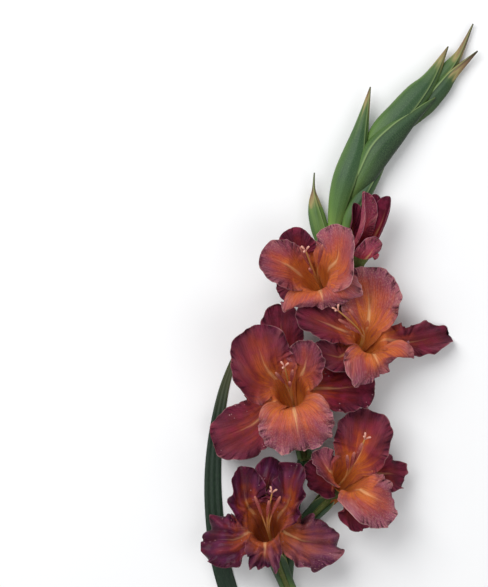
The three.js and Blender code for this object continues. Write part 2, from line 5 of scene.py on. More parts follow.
import bpy
import numpy as np
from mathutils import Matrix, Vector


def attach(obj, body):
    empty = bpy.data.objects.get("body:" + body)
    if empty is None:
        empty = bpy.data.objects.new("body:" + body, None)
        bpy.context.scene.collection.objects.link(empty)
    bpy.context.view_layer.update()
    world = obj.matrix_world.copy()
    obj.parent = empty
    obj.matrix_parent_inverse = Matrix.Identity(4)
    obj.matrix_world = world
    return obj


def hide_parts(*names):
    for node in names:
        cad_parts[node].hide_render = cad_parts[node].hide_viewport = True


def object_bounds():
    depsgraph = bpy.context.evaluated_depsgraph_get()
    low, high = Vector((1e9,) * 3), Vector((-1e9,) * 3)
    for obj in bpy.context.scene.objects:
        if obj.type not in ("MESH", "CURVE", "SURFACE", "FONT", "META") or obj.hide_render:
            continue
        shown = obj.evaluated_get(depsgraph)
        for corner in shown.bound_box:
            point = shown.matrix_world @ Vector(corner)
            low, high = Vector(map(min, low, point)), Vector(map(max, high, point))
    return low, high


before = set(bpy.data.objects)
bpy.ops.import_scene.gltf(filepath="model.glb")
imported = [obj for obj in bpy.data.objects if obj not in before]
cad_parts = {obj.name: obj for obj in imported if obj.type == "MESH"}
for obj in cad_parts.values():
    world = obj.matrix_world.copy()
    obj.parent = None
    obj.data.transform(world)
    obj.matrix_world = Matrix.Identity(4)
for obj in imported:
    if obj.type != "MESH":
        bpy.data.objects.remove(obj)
CAD_BOX = [list(corner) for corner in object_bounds()]

# The drawing below is in millimetres. This moves its zero to the part's own frame.
SHIFT = np.array([-87.0, 103.0, 0.0])
MM = 0.001
UP = np.array([0.0, 0.0, 1.0])

TUBE_BASE_RADIUS = 3.4
THROAT_RADIUS = 14.5
TUBE_ELBOW = 0.55
CLAW_START = 0.42
CLAW_MIDDLE = 0.74
CLAW_END = 0.5
CLAW_FOOT = 0.05
CLAW_HALF_ANGLE = {"inner": 1.15, "outer": 0.9}
WALL_OUTSIDE = 1.7
WALL_INSIDE = 0.5
TUBE_END = 0.985
TUBE_ROWS = 40
TUBE_SIDES = 48
# the tube's skin inside: a little wine-red, and too far from any margin to have the smoky haze, partly
# painted sheen, and the pale frost of painted sheen
TUBE_WINE = 0.3
FAR_FROM_EDGE = 20
BLADE_END = 0.997
BLADE_OPENS = 0.45
BASE_BROADNESS = 0.7
WIDEST = {"inner": 0.5, "outer": 0.52}
TIP_POWER = {"inner": 2.6, "outer": 2.2}
TIP_ROUNDING = 0.6
# waves along a petal's margins: how many there are of each kind, and how high they are in millimetres
RUFFLE = 2.2
RUFFLE_WAVES = 3.4
FOLDS = ((5, 8, 13), (1.3, 1.4, 1.1))
CRIMPS = ((21, 29, 40), (0.55, 0.5, 0.22))
RUFFLE_REACH = 6
# the same for the furrows along the veins, and for the tatters as shares of the petal's width
FURROWS = ((6, 11, 19), (0.45, 0.4, 0.3))
FURROW_SWAY = ((1, 2), (0.3, 0.21))
FURROW_SPAN = 25
FURROW_DEPTH = 0.55
TATTERS = ((2, 3, 5, 8), (0.02, 0.022, 0.018, 0.012))
# a petal this wide to each side has folds of full height
COMMON_HALF_WIDTH = 22
VEIN_GROOVE = 0.7
VEIN_GROOVE_WIDTH = 2.5
GLOW_WIDTH = 6
# how far a warm petal keeps the throat's colour up its middle
WARMTH = 0.25
# the patterns of two petals are this far apart
PATTERN_STEP = 7.0
OUTER_OFFSET = 1.1
# how far the outer petals sink behind the inner ones where they leave the throat
OUTER_SINK = 2.4
# the third petal of an open bloom is its lip, which lies over its neighbours by this much
LIP = 2
LIP_RISE = 1.4
PETAL_THICKNESS = 0.8
PETAL_EDGE = 0.35
THINS_OVER = 4
PETAL_ROWS = 60
CLAW_ROWS = 12
PETAL_COLUMNS = 56
# in the place of a petal's share of wine, this number says that the skin is the tube's green outside
GREEN_TUBE = -1.0

FILAMENT_RADIUS = 0.75
ANTHER_LENGTH = 17
ANTHER_RADIUS = 1.7
ANTHER_FROM = 0.66
STAMEN_FOOT_RADIUS = 3
STAMEN_FOOT_HEIGHT = 5
STYLE_RADIUS = 0.65
STIGMA_LENGTH = 6
LOBE_RADII = (0.5, 0.95)
THROAT_LEAN = 0.17
GAP = 0.3

BRACT_THICKNESS = 0.9
BRACT_STAND_OFF = 1.5
BRACT_WRAP = 2.75
BRACT_LONG = 0.85
BRACT_SHORT = 0.62
BRACT_NOTCH = 0.3
BRACT_ROOT = 0.02
BRACT_SHARPNESS = 1.5
SPATHE_ROWS = 40
SPATHE_COLUMNS = 72
BUD_POINT = 4
BUD_SIDES = 84
BUD_ROWS = 90
KEEL_HEIGHT = 0.5
KEEL_WIDTH = 0.2
KEEL_ANGLE = 1.5 * math.pi
LAP_HEIGHT = 0.8
LAP_WIDTH = 2.2
# places on the bract's colours: where they stop being green, and how far up them a spathe goes
DRY_FROM = 0.84
SPATHE_GREEN_TO = 0.93
# spathes lie in the shade of their blooms, so their green is this much of the way to the deep one
SPATHE_DEEP = 0.5

STEM_RADIUS_FOOT = 5.5
STEM_RADIUS_TIP = 1.6
STEM_TAPER = 1.1
STEM_SIDES = 40
STEM_ROWS = 240
STUB_RADIUS = 3.6
LEAF_HALF_WIDTH = 9
LEAF_THICKNESS = 1.2
LEAF_RIB = 1
LEAF_POINT = 3
LEAF_TIP_ROUNDING = 0.7
LEAF_ROWS = 200
LEAF_COLUMNS = 48
LEAF_CLASP = 0.16
LEAF_CLASP_RADIUS = 6.6
LEAF_CLASP_ANGLES = (0.9, 3.2)

STEM_LINE = [
    (28, -452, 5.5), (34, -366, 5.2), (41, -246, 4.8), (55, -141, 4.6), (75, -52, 4.5),
    (86, 20, 4.6), (90, 66, 5), (99, 100, 6), (118, 134, 7), (142, 163, 8),
]
LEAF_LINE = [
    (26, -395, 5), (16, -350, 3), (-4, -300, 0.8), (-21, -246, 0.1), (-28, -190, 0.1),
    (-27, -140, 0.1), (-19, -90, 0.1), (-6, -50, 0.4),
]

# Each petal: middle and tip of its blade, half widths to its two sides, cup, and how wine-red it is. The
# first three petals of a bloom are its inner ones.
BLOOMS = {
    "a": dict(
        foot=(84, -20, 12), throat=(64, 15, 44), faces=(-0.2, 0.35, 0.9), warm=(0, 1),
        crumple=0.5, ruffle=0.5,
        petals=[
            ((84, 33, 57), (85, 62, 62), 33, 27, 0.45, 0.1),
            ((38, 26, 58), (15, 36, 60), 21, 23, 0.4, 0.4),
            ((70, -3, 60), (72, -13, 52), 39, 37, -0.3, 0.1),
            ((50, 36, 44), (42, 59, 40), 17, 18, 0.3, 0.95),
            ((44, 8, 44), (30, 2, 40), 16, 16, 0.2, 0.6),
            ((88, 16, 50), (101, 11, 49), 16, 15, 0.1, 0.7),
        ],
        stigma=(55, 38, 78), anthers=[(53, 36, 70), (60, 20, 66), (69, 38, 74)],
    ),
    "b": dict(
        foot=(71, -88, 12), throat=(112, -42, 38), faces=(0.15, 0.4, 0.9), torn=(3,), warm=(0, 2),
        crumple=0.8, ruffle=0.7,
        petals=[
            ((113, -8, 36), (109, 24, 30), 29, 28, 0.45, 0.1),
            ((76, -28, 47), (47, -16, 46), 19, 20, 0.4, 0.75),
            ((119, -61, 54), (124, -73, 46), 32, 40, -0.2, 0.2),
            ((153, -43, 26), (190, -36, 0.6), 15, 15, 0.3, 0.8),
            ((84, -56, 50), (60, -50, 47), 16, 15, 0.2, 0.75),
            ((88, -18, 30), (84, 6, 24), 16, 16, 0.2, 0.7),
        ],
        stigma=(84, -15, 64), anthers=[(98, -20, 58), (96, -32, 54), (90, -27, 60)],
    ),
    "c": dict(
        foot=(56, -152, 12), throat=(42, -88, 46), faces=(-0.1, 0.35, 0.94), radius=16.5, wet=(4, 5),
        warm=(0,),
        petals=[
            ((18, -63, 60), (8, -29, 66), 28, 34, 0.4, 0.6),
            ((55, -64, 53), (58, -42, 58), 20, 19, 0.5, 0.45),
            ((47, -116, 61), (51, -142, 48), 35, 34, -0.12, 0.05),
            ((34, -40, 40), (33, -9, 34), 20, 20, 0.3, 0.9),
            ((88, -84, 43), (118, -84, 33), 26, 29, 0.2, 0.95),
            ((5, -119, 35), (-30, -135, 18), 25, 28, 0.1, 0.75),
        ],
        stigma=(36, -65, 84), anthers=[(31, -74, 76), (41, -81, 74), (43, -72, 78)],
    ),
    "d": dict(
        foot=(50, -214, 12), throat=(93, -166, 42), faces=(0.25, 0.35, 0.9), warm=(0, 2),
        petals=[
            ((107, -137, 42), (114, -105, 34), 25, 28, 0.4, 0.7),
            ((75, -157, 54), (64, -141, 52), 16, 17, 0.5, 0.45),
            ((113, -182, 56), (137, -194, 42), 28, 26, -0.15, 0.15),
            ((74, -168, 38), (57, -152, 34), 17, 17, 0.2, 0.95),
            ((128, -162, 34), (146, -166, 22), 18, 18, 0.2, 0.85),
            ((102, -196, 36), (116, -207, 24), 17, 17, 0.2, 0.85),
        ],
        stigma=(108, -130, 66), anthers=[(103, -140, 62), (97, -148, 60), (92, -150, 62)],
    ),
    "e": dict(
        foot=(42, -272, 12), throat=(20, -211, 42), faces=(-0.1, 0.45, 0.88), crumple=2.2, warm=(0, 1),
        wet=(0, 1, 3, 4, 5),
        petals=[
            ((2, -186, 50), (0, -155, 54), 19, 19, 0.7, 0.95),
            ((40, -186, 50), (46, -152, 50), 19, 20, 0.7, 0.95),
            ((19, -233, 54), (18, -246, 46), 18, 18, 0.9, 0.6),
            ((20, -178, 36), (28, -149, 30), 17, 17, 0.2, 1.0),
            ((56, -222, 42), (88, -226, 30), 26, 25, -0.2, 0.4),
            ((-12, -221, 40), (-39, -222, 28), 25, 26, -0.2, 0.95),
        ],
        stigma=(25, -178, 66), anthers=[(12, -188, 60), (22, -192, 58), (30, -188, 60)],
    ),
    "half_open": dict(
        foot=(93, 12, 12), throat=(106, 38, 28), faces=(0.25, 0.75, 0.5), radius=8.5, under=(0.2, 0, -1),
        crumple=0.12, ruffle=0.3,
        petals=[
            ((107, 66, 40), (108, 92, 38), 15, 15, 1.3, 0.2),
            ((124, 64, 34), (131, 88, 32), 12, 12, 1.4, 0.95),
            ((117, 68, 24), (119, 90, 26), 10, 10, 1.2, 0.7),
            ((112, 37, 42), (124, 46, 38), 14, 14, 0.4, 0.1),
            ((100, 60, 28), (100, 82, 30), 9, 9, 1.0, 0.9),
        ],
    ),
}

# The closed buds: middle line of each bract, half width along it, depth as a share of that width
BUDS = {
    "bract_front": dict(
        line=[(82, 60, 13), (87, 86, 16), (93, 106, 17), (101, 128, 15), (107, 152, 14), (115, 188, 13)],
        half=[6, 10, 12, 11, 6.5, 0.6], depth=0.62, lap=5.7, dry=0.88, deep=0.3,
    ),
    "bract_middle": dict(
        line=[(97, 88, 14), (110, 109, 17), (122, 129, 18), (137, 145, 17), (151, 158, 16), (174, 178, 15)],
        half=[7, 11, 13, 10.5, 6.5, 0.6], depth=0.6, lap=4.3, dry=1.2, deep=1.0,
    ),
    "bract_upper": dict(
        line=[(112, 125, 12), (127, 147, 12), (142, 163, 13), (157, 180, 12), (170, 196, 11), (186, 225, 9)],
        half=[8, 12, 12.5, 11.5, 7, 0.6], depth=0.5, lap=5.5, dry=0.84, deep=0.4,
    ),
    "bract_lower": dict(
        line=[(92, 48, 12), (96, 68, 15), (103, 81, 15), (111, 94, 14), (120, 108, 13), (130, 122, 12)],
        half=[4.5, 6.5, 7.5, 7, 5, 0.6], depth=0.7, lap=5.3, dry=1.2, deep=0.3,
    ),
    "bract_right": dict(
        line=[(150, 156, 8), (165, 170, 9), (174, 180, 9), (182, 189, 9), (191, 200, 8), (213, 221, 7)],
        half=[6, 8, 8, 7, 4.5, 0.6], depth=0.5, lap=4.4, dry=0.74, deep=0.75,
    ),
    "bract_top": dict(
        line=[(160, 176, 6), (172, 190, 6), (182, 201, 6), (190, 210, 6), (198, 222, 5), (209, 246, 4)],
        half=[6, 7, 7, 5.5, 3, 0.6], depth=0.5, lap=5.4, dry=0.62, deep=0.3, sunny=0.5,
    ),
    "bract_left": dict(
        line=[(76, 40, 9), (70, 56, 10), (66, 72, 10), (64, 84, 10), (63.5, 95, 10), (64, 110, 11)],
        half=[6, 8, 7.5, 5, 1.6, 0.6], depth=0.5, lap=5.4, dry=0.5, deep=0, sunny=0.9,
    ),
}


# Shapes

def mix(start, end, share):
    """The value that lies this share of the way from start to end."""
    return start + (end - start) * share


def smooth(share):
    """Runs from 0 to 1 with an easy start and end, and stays there outside them."""
    held = np.clip(share, 0, 1)
    return held * held * (3 - 2 * held)


def unit(vectors):
    """The same directions with a length of 1."""
    return vectors / np.maximum(np.linalg.norm(vectors, axis=-1, keepdims=True), 1e-9)


def line_at(points, shares):
    """Points on the smooth line through the given ones, the same line as the part's source draws."""
    points = np.asarray(points, float)
    if points.ndim == 1:
        points = points[:, None]
    last = len(points) - 1
    place = np.clip(np.atleast_1d(shares), 0, 1) * last
    index = np.minimum(place.astype(int), last - 1)
    t = (place - index)[:, None]
    before = points[np.maximum(index - 1, 0)]
    start = points[index]
    end = points[index + 1]
    after = points[np.minimum(index + 2, last)]
    slope_in = (end - before) / 2
    slope_out = (after - start) / 2
    return (
        (2 * t**3 - 3 * t**2 + 1) * start + (t**3 - 2 * t**2 + t) * slope_in
        + (3 * t**2 - 2 * t**3) * end + (t**3 - t**2) * slope_out
    )


def frames_on(curve, first_side, shares):
    """The point, side and face direction at each share of a curve, without any spin."""
    ahead = curve(np.minimum(shares + 1e-3, 1))
    behind = curve(np.maximum(shares - 1e-3, 0))
    along = unit(ahead - behind)
    sides = np.zeros_like(along)
    side = np.asarray(first_side, float)
    for row, direction in enumerate(along):
        side = unit(side - direction * side.dot(direction))
        sides[row] = side
    return curve(shares), sides, np.cross(along, sides)


def quads_over(rows, columns, wrap=False):
    """Faces of a grid of points, row after row."""
    r, c = np.meshgrid(np.arange(rows - 1), np.arange(columns if wrap else columns - 1), indexing="ij")
    next_c = (c + 1) % columns
    row, next_row = r * columns, (r + 1) * columns
    return np.stack([row + c, row + next_c, next_row + next_c, next_row + c], -1).reshape(-1, 4)


def sheet(grid, thickness):
    """A closed thin sheet over a grid of points, as points and faces. Thickness may change over the grid."""
    rows, columns = grid.shape[:2]
    over = np.gradient(grid, axis=1)
    up = np.gradient(grid, axis=0)
    normal = unit(np.cross(over, up))
    half = np.broadcast_to(np.asarray(thickness, float) / 2, (rows, columns))[..., None]
    points = np.concatenate([(grid + normal * half).reshape(-1, 3), (grid - normal * half).reshape(-1, 3)])
    front = quads_over(rows, columns)
    count = rows * columns
    back = front[:, ::-1] + count
    rim = np.concatenate([
        np.arange(columns - 1),
        np.arange(rows - 1) * columns + columns - 1,
        (rows - 1) * columns + np.arange(columns - 1, 0, -1),
        np.arange(rows - 1, 0, -1) * columns,
    ])
    after = np.roll(rim, -1)
    wall = np.stack([after, rim, rim + count, after + count], -1)
    return points, np.concatenate([front, back, wall])


def first_side(curve):
    """The level direction across the start of a curve."""
    here, ahead = curve(np.array([0, 1e-3]))
    return unit(np.cross(unit(ahead - here), UP))


def closed(rings, first, last):
    """Rings of points closed by a fan of triangles at each end, as points and lists of faces."""
    rows, sides = rings.shape[:2]
    here = np.arange(sides)
    after = (here + 1) % sides
    centre = np.full(sides, rows * sides)
    end = (rows - 1) * sides
    caps = [np.stack([centre, after, here], -1), np.stack([centre + 1, end + here, end + after], -1)]
    return np.concatenate([rings.reshape(-1, 3), first, last]), [quads_over(rows, sides, wrap=True), *caps]


def swept(curve, half_width, half_depth, sides, rows, profile=None, turn=None):
    """A closed body along a curve. The profile pushes its surface out, and the turn twists its columns."""
    shares = np.linspace(0, 1, rows)
    middle, across, face = frames_on(curve, first_side(curve), shares)
    turned = np.zeros(rows) if turn is None else turn(shares)
    angle = np.linspace(0, 2 * np.pi, sides, endpoint=False)[None] + turned[:, None]
    push = 0 if profile is None else profile(shares[:, None], angle)
    wide = half_width(shares)[:, None] * np.cos(angle) + push * np.cos(angle)
    deep = half_depth(shares)[:, None] * np.sin(angle) + push * np.sin(angle)
    rings = middle[:, None] + across[:, None] * wide[..., None] + face[:, None] * deep[..., None]
    share_of = np.concatenate([np.repeat(shares, sides), [0, 1]])
    angle_of = np.concatenate([angle.ravel(), [0, 0]])
    return *closed(rings, middle[:1], middle[-1:]), share_of, angle_of


def tube_ends(bloom):
    """Where a flower's tube starts, where its throat is, and how the bloom faces."""
    foot, throat, faces = [np.array(bloom[key], float) for key in ("foot", "throat", "faces")]
    return foot, throat, unit(faces)


def tube_curve(bloom):
    """The middle line of a flower's tube, which turns at its elbow to face as the bloom does."""
    foot, throat, faces = tube_ends(bloom)
    elbow = throat - faces * TUBE_ELBOW * np.linalg.norm(foot - throat)

    def curve(shares):
        t = np.atleast_1d(shares)[:, None]
        return mix(mix(foot, elbow, t), mix(elbow, throat, t), t)

    return curve


def tube_radius(bloom, share):
    """How wide the tube is, from its narrow base to the throat."""
    return mix(TUBE_BASE_RADIUS, bloom.get("radius", THROAT_RADIUS), np.asarray(share) ** 2)


def petal_points(bloom, ring, middle, tip):
    """The points of a petal's middle line, from the wall of the tube to its tip, and the side across it."""
    curve = tube_curve(bloom)
    _, throat, faces = tube_ends(bloom)
    outward = np.array(middle, float) - throat
    outward = unit(outward - faces * outward.dot(faces))
    offset = OUTER_OFFSET if ring == "outer" else 0

    def on_wall(share):
        here, before = curve(np.array([share, share - 1e-3]))
        along = unit(here - before)
        away = unit(outward - along * outward.dot(along))
        return here + away * (tube_radius(bloom, share) + offset)

    points = [on_wall(CLAW_START), on_wall(CLAW_MIDDLE), on_wall(1.0), middle, tip]
    return np.array(points, float), np.cross(faces, outward)


def blade_half_width(ring, full, rim, blade):
    """The half width along a blade, from the tube's rim to its full width and then to its rounded tip."""
    widest = WIDEST[ring]
    opening = np.sin(np.pi / 2 * np.clip(blade / widest, 0, 1)) ** BASE_BROADNESS
    past = np.clip((blade - widest) / (1 - widest), 0, 1)
    closing = (1 - past ** TIP_POWER[ring]) ** TIP_ROUNDING
    return np.where(blade < widest, mix(rim, full, opening), full * closing)


def threes(shape, *values):
    """Three numbers for each point of a grid, in the order of its points."""
    spread = [np.broadcast_to(np.asarray(value, float), shape) for value in values]
    return np.stack(spread, -1).reshape(-1, 3)


def both_sides(shape, **numbers):
    """The numbers that a material reads, for the front and then for the back of a sheet."""
    return {name: np.tile(threes(shape, *values), (2, 1)) for name, values in numbers.items()}


def waves(rng, angle, counts, sizes):
    """A sum of waves with drawn phases, for pleats that repeat but never quite alike."""
    total = np.zeros_like(angle)
    for count, size in zip(counts, sizes):
        total += size * np.sin(count * angle + rng.uniform(0, 2 * np.pi))
    return total


def ring_of(index):
    """Which of a bloom's two rings a petal belongs to."""
    return "inner" if index < 3 else "outer"


def petal_relief(bloom, index, at, rng):
    """How far the petal's surface is pushed forward, and how deep its folds are for the material."""
    _, tip, left, right, _, wine = bloom["petals"][index]
    wave = RUFFLE * bloom.get("ruffle", 1) * at.opened * at.u * at.u
    wave = wave * np.sin(RUFFLE_WAVES * np.pi * at.blade + 2 * at.u + tip[0])
    folds = waves(rng, at.fan, *FOLDS)
    crimps = waves(rng, at.fan, *CRIMPS)
    # veins part from the middle and run out to the margins, with furrows between them
    furrows = waves(rng, at.vein_line / FURROW_SPAN, *FURROWS) + waves(rng, 12 * at.blade, *FURROW_SWAY)
    crumple = bloom.get("crumple", 1) * (1 + 0.5 * wine) * (2 if index in bloom.get("torn", ()) else 1)
    rising = smooth(at.blade / 0.3) * at.near_edge
    along_veins = smooth((at.blade - 0.1) / 0.3) * FURROW_DEPTH * crumple * furrows
    fold = rising * (folds / 2.5 + crimps / 1.2) + 0.5 * along_veins
    broad = crumple * min(left, right) / COMMON_HALF_WIDTH
    lift = wave + rising * (broad * folds + min(crumple, 1) * crimps) + along_veins
    lift = lift - VEIN_GROOVE * at.opened * np.exp(-np.abs(at.beside) / VEIN_GROOVE_WIDTH)
    if ring_of(index) == "outer":
        lift = lift - OUTER_SINK * smooth(at.blade / 0.1) * (1 - smooth((at.blade - 0.45) / 0.25))
    if index == LIP and "stigma" in bloom:
        lift = lift + LIP_RISE * smooth(at.blade / 0.15) * (1 - smooth((at.blade - 0.6) / 0.3))
    return lift, fold


def petal_numbers(wine, warmth, at, fold, seed):
    """What the petal's material reads at each point, on both sides of the petal."""
    blade = at.blade
    # How far the colour has gone from the throat's orange to the margin's wine
    free = smooth((blade - 0.1) / 0.6)
    gone = 0.75 * np.clip(blade, 0, 1) ** 1.25 + (0.3 * np.abs(at.u) ** 2.5 + 0.3 * at.near_edge) * free
    gone = gone - warmth * np.exp(-((at.u / 0.45) ** 2)) * smooth(blade * 3)
    gone = np.where(blade < 0, blade * 0.6, gone)
    # The cream line of the main vein thins out towards the tip, and the glow round it is wider
    line_width = mix(0.7, 1.5, smooth((blade + 0.2) / 0.3)) * (1 - 0.7 * smooth((blade - 0.1) / 0.7))
    drawn = smooth((blade + 0.25) / 0.3) * (1 - smooth((blade - 0.3) / 0.5)) * (1 - 0.6 * wine)
    vein = np.exp(-((at.beside / line_width) ** 4)) * drawn
    glow = np.exp(-((at.beside / GLOW_WIDTH) ** 2)) * drawn * (1 - (0 if warmth else 0.8) * wine)
    # Every petal has much the same colour in the throat, and no margin there
    reddened = wine * mix(0.3, 1, smooth(blade / 0.4))
    inwards = at.from_edge + 10 * (1 - smooth(blade / 0.4))
    apart = seed * PATTERN_STEP
    return both_sides(
        gone.shape, petal_shade=(gone, inwards, reddened), petal_rib=(vein, glow, fold),
        petal_fan=(at.vein_line, at.ahead, apart), petal_pleat=(at.fan * 20, at.from_edge, apart),
    )


def petal_part(bloom, index, seed):
    """One petal as points, faces and the numbers that its material reads."""
    middle, tip, left, right, cup, wine = bloom["petals"][index]
    ring = ring_of(index)
    rng = np.random.default_rng(seed)
    line, side = petal_points(bloom, ring, middle, tip)
    blade_rows = np.sin(np.pi / 2 * np.linspace(0, 1, PETAL_ROWS)) * BLADE_END
    shares = np.concatenate([
        np.linspace(CLAW_FOOT, CLAW_END, CLAW_ROWS, endpoint=False), mix(CLAW_END, 1, blade_rows),
    ])
    point, across, face = frames_on(lambda s: line_at(line, s), side, shares)
    blade = ((shares - CLAW_END) / (1 - CLAW_END))[:, None]
    u = np.linspace(-1, 1, PETAL_COLUMNS + 1)[None]
    opened = smooth(blade / BLADE_OPENS)

    # The outline: the wall of the tube below, then the blade with its uneven margins
    radius = tube_radius(bloom, mix(CLAW_START, 1, np.minimum(shares / CLAW_END, 1)))[:, None]
    full = np.where(u < 0, left, right).astype(float)
    rim = bloom.get("radius", THROAT_RADIUS) * CLAW_HALF_ANGLE[ring]
    half = np.where(blade <= 0, radius * CLAW_HALF_ANGLE[ring], blade_half_width(ring, full, rim, blade))
    raggedness = 3 if index in bloom.get("torn", ()) else min(bloom.get("crumple", 1) + 0.3, 1)
    ragged = waves(rng, 2 * np.pi * blade, *TATTERS) * raggedness
    half = half * (1 + opened * smooth(blade * 3) * ragged)
    curl = mix(CLAW_HALF_ANGLE[ring], cup, opened)
    reach = half * np.sin(u * curl) / curl
    rise = half * (1 - np.cos(u * curl)) / curl

    # Where each point lies on the petal, in millimetres and in shares
    length = np.linalg.norm(np.diff(point, axis=0), axis=1).cumsum()
    ahead = (np.concatenate([[0], length]) - length[CLAW_ROWS - 1])[:, None]
    total = ahead[-1, 0]
    beside = u * half
    from_edge = np.minimum(half * (1 - np.abs(u)), (total - ahead) * 1.1)
    at = SimpleNamespace(
        blade=blade, u=u, opened=opened, ahead=ahead, beside=beside, from_edge=from_edge,
        near_edge=np.exp(-np.maximum(from_edge, 0) / RUFFLE_REACH),
        fan=np.arctan2(beside, ahead - 0.3 * total), vein_line=beside / (0.3 + np.clip(blade, -0.1, 1)),
    )
    lift, fold = petal_relief(bloom, index, at, rng)
    grid = point[:, None] + across[:, None] * reach[..., None] + face[:, None] * (rise + lift)[..., None]
    points, faces = sheet(grid, mix(PETAL_EDGE, PETAL_THICKNESS, smooth(from_edge / THINS_OVER)))
    warmth = WARMTH if index in bloom.get("warm", ()) else 0
    return points, [faces], petal_numbers(wine, warmth, at, fold, seed)


def tube_part(bloom):
    """The wall of the flower's tube, hollow above the place where the petals come free of it."""
    curve = tube_curve(bloom)
    shares = np.linspace(0, TUBE_END, TUBE_ROWS)
    middle, across, face = frames_on(curve, first_side(curve), shares)
    angle = np.linspace(0, 2 * np.pi, TUBE_SIDES, endpoint=False)
    ring = across[:, None] * np.cos(angle)[None, :, None] + face[:, None] * np.sin(angle)[None, :, None]
    radius = tube_radius(bloom, shares)[:, None, None]
    free = shares >= CLAW_START
    outside = middle[:, None] + ring * (radius + WALL_OUTSIDE)
    inside = middle[free][:, None] + ring[free] * (radius[free] + WALL_INSIDE)
    points, faces = closed(np.concatenate([outside, inside[::-1]]), middle[:1], middle[free][:1])
    along = np.concatenate([shares, shares[free][::-1]])
    share_of = np.concatenate([np.repeat(along, TUBE_SIDES), [0, CLAW_START]])
    angle_of = np.concatenate([np.tile(angle, len(along)), [0, 0]])
    skin = np.where(np.arange(len(points)) < TUBE_ROWS * TUBE_SIDES, GREEN_TUBE, TUBE_WINE)
    shape = share_of.shape
    fan = threes(shape, angle_of * 8, share_of * 40, 3)
    return points, faces, {
        "petal_shade": threes(shape, (share_of - 1) * 0.9, FAR_FROM_EDGE, skin),
        "petal_rib": threes(shape, 0, 0, 0), "petal_fan": fan, "petal_pleat": fan,
    }


def swept_numbers(share_of, angle_of, seed, girth):
    """What a swept piece's material reads: the place along it, and lines that run its whole length."""
    shape = share_of.shape
    return {
        "strand_place": threes(shape, 0, share_of, 0),
        "strand_lines": threes(shape, angle_of * girth, share_of, seed),
    }


def even(radius):
    """A radius that is the same all along."""
    return lambda shares: np.full(len(shares), radius)


def rod_part(points, radius_at, sides, rows, seed=0):
    """A round rod along the smooth line through some points."""
    body, faces, share_of, angle_of = swept(partial(line_at, points), radius_at, radius_at, sides, rows)
    return body, faces, swept_numbers(share_of, angle_of, seed, girth=2)


def stamen_parts(bloom, seed):
    """Filaments with long anthers, the style with its three lobes, and the foot that they stand on."""
    curve = tube_curve(bloom)
    here, before = curve(np.array([CLAW_START + 1e-3, CLAW_START]))
    along = unit(here - before)
    start = before + along * GAP
    crown = start + along * STAMEN_FOOT_HEIGHT
    to_throat = tube_ends(bloom)[1] - crown

    def path_to(place):
        """The root of a filament on the foot, and the point in the throat where it leans to its place."""
        aside = place - crown
        aside = unit(aside - along * aside.dot(along))
        root = crown - along * FILAMENT_RADIUS + aside * (STAMEN_FOOT_RADIUS - 2 * FILAMENT_RADIUS)
        return root, mix(root + to_throat, place, THROAT_LEAN)

    def stamen_radius(shares):
        anther = (shares - ANTHER_FROM) / (1 - ANTHER_FROM)
        body = np.sin(np.pi * np.clip(anther, 0, 1)) ** 0.6
        return np.where(anther <= 0, FILAMENT_RADIUS, mix(FILAMENT_RADIUS * 0.7, ANTHER_RADIUS, body))

    def lobe_radius(shares):
        return mix(*LOBE_RADII, smooth(shares / 0.7)) * (1 - 0.5 * smooth((shares - 0.8) / 0.2))

    parts = [(*rod_part([start, crown], even(STAMEN_FOOT_RADIUS), sides=16, rows=6), MATERIALS["filament"])]
    for index, place in enumerate(bloom["anthers"]):
        middle = np.array(place, float)
        root, bend = path_to(middle)
        tip = middle + unit(middle - bend) * ANTHER_LENGTH / 2
        rod = rod_part([root, bend, tip], stamen_radius, sides=14, rows=60, seed=seed + index)
        parts.append((*rod, MATERIALS["anther"]))
    stigma = np.array(bloom["stigma"], float)
    root, bend = path_to(stigma)
    style = rod_part([root, bend, stigma], even(STYLE_RADIUS), sides=10, rows=40)
    parts.append((*style, MATERIALS["filament"]))
    ahead = unit(stigma - bend)
    aside = unit(np.cross(ahead, UP))
    other = np.cross(ahead, aside)
    for turn in 2 * math.pi * np.arange(3) / 3:
        outwards = aside * math.cos(turn) + other * math.sin(turn)
        end = stigma + unit(outwards + ahead) * STIGMA_LENGTH
        sunk = stigma - ahead * FILAMENT_RADIUS
        bow = mix(sunk, end, 0.5) + ahead * 0.8
        lobe = rod_part([sunk, bow, end], lobe_radius, sides=10, rows=14)
        parts.append((*lobe, MATERIALS["stigma"]))
    return parts


def spathe_part(bloom, seed):
    """The pair of bracts that clasps the tube of a bloom."""
    curve = tube_curve(bloom)
    angle = mix(-BRACT_WRAP, BRACT_WRAP, np.linspace(0, 1, SPATHE_COLUMNS + 1))
    point = np.abs(np.cos(angle)) ** BRACT_SHARPNESS
    reach = mix(BRACT_NOTCH, np.where(np.cos(angle) > 0, BRACT_LONG, BRACT_SHORT), point)
    row = np.linspace(0, 1, SPATHE_ROWS + 1)[:, None]
    share = mix(BRACT_ROOT, reach[None], row)
    flat = share.ravel()
    middle = curve(flat)
    along = unit(curve(flat + 1e-3) - curve(flat - 1e-3))
    under = np.array(bloom.get("under", (0, 0.2, -1)), float)
    away = unit(under - along * (along @ under)[:, None])
    across = np.cross(along, away)
    radius = (tube_radius(bloom, flat) + WALL_OUTSIDE + BRACT_STAND_OFF)[:, None]
    turn = np.broadcast_to(angle[None], share.shape).ravel()[:, None]
    grid = middle + away * np.cos(turn) * radius + across * np.sin(turn) * radius
    points, faces = sheet(grid.reshape(*share.shape, 3), BRACT_THICKNESS)
    # the rim is dry, and the upper part is a sunnier green
    rim = np.exp(-(((1 - row) / 0.05) ** 2))
    return points, [faces], both_sides(
        share.shape, strand_place=(SPATHE_DEEP, row * SPATHE_GREEN_TO, 0),
        strand_lines=(angle * 7, share, seed), strand_marks=(rim, 0, row**3),
    )


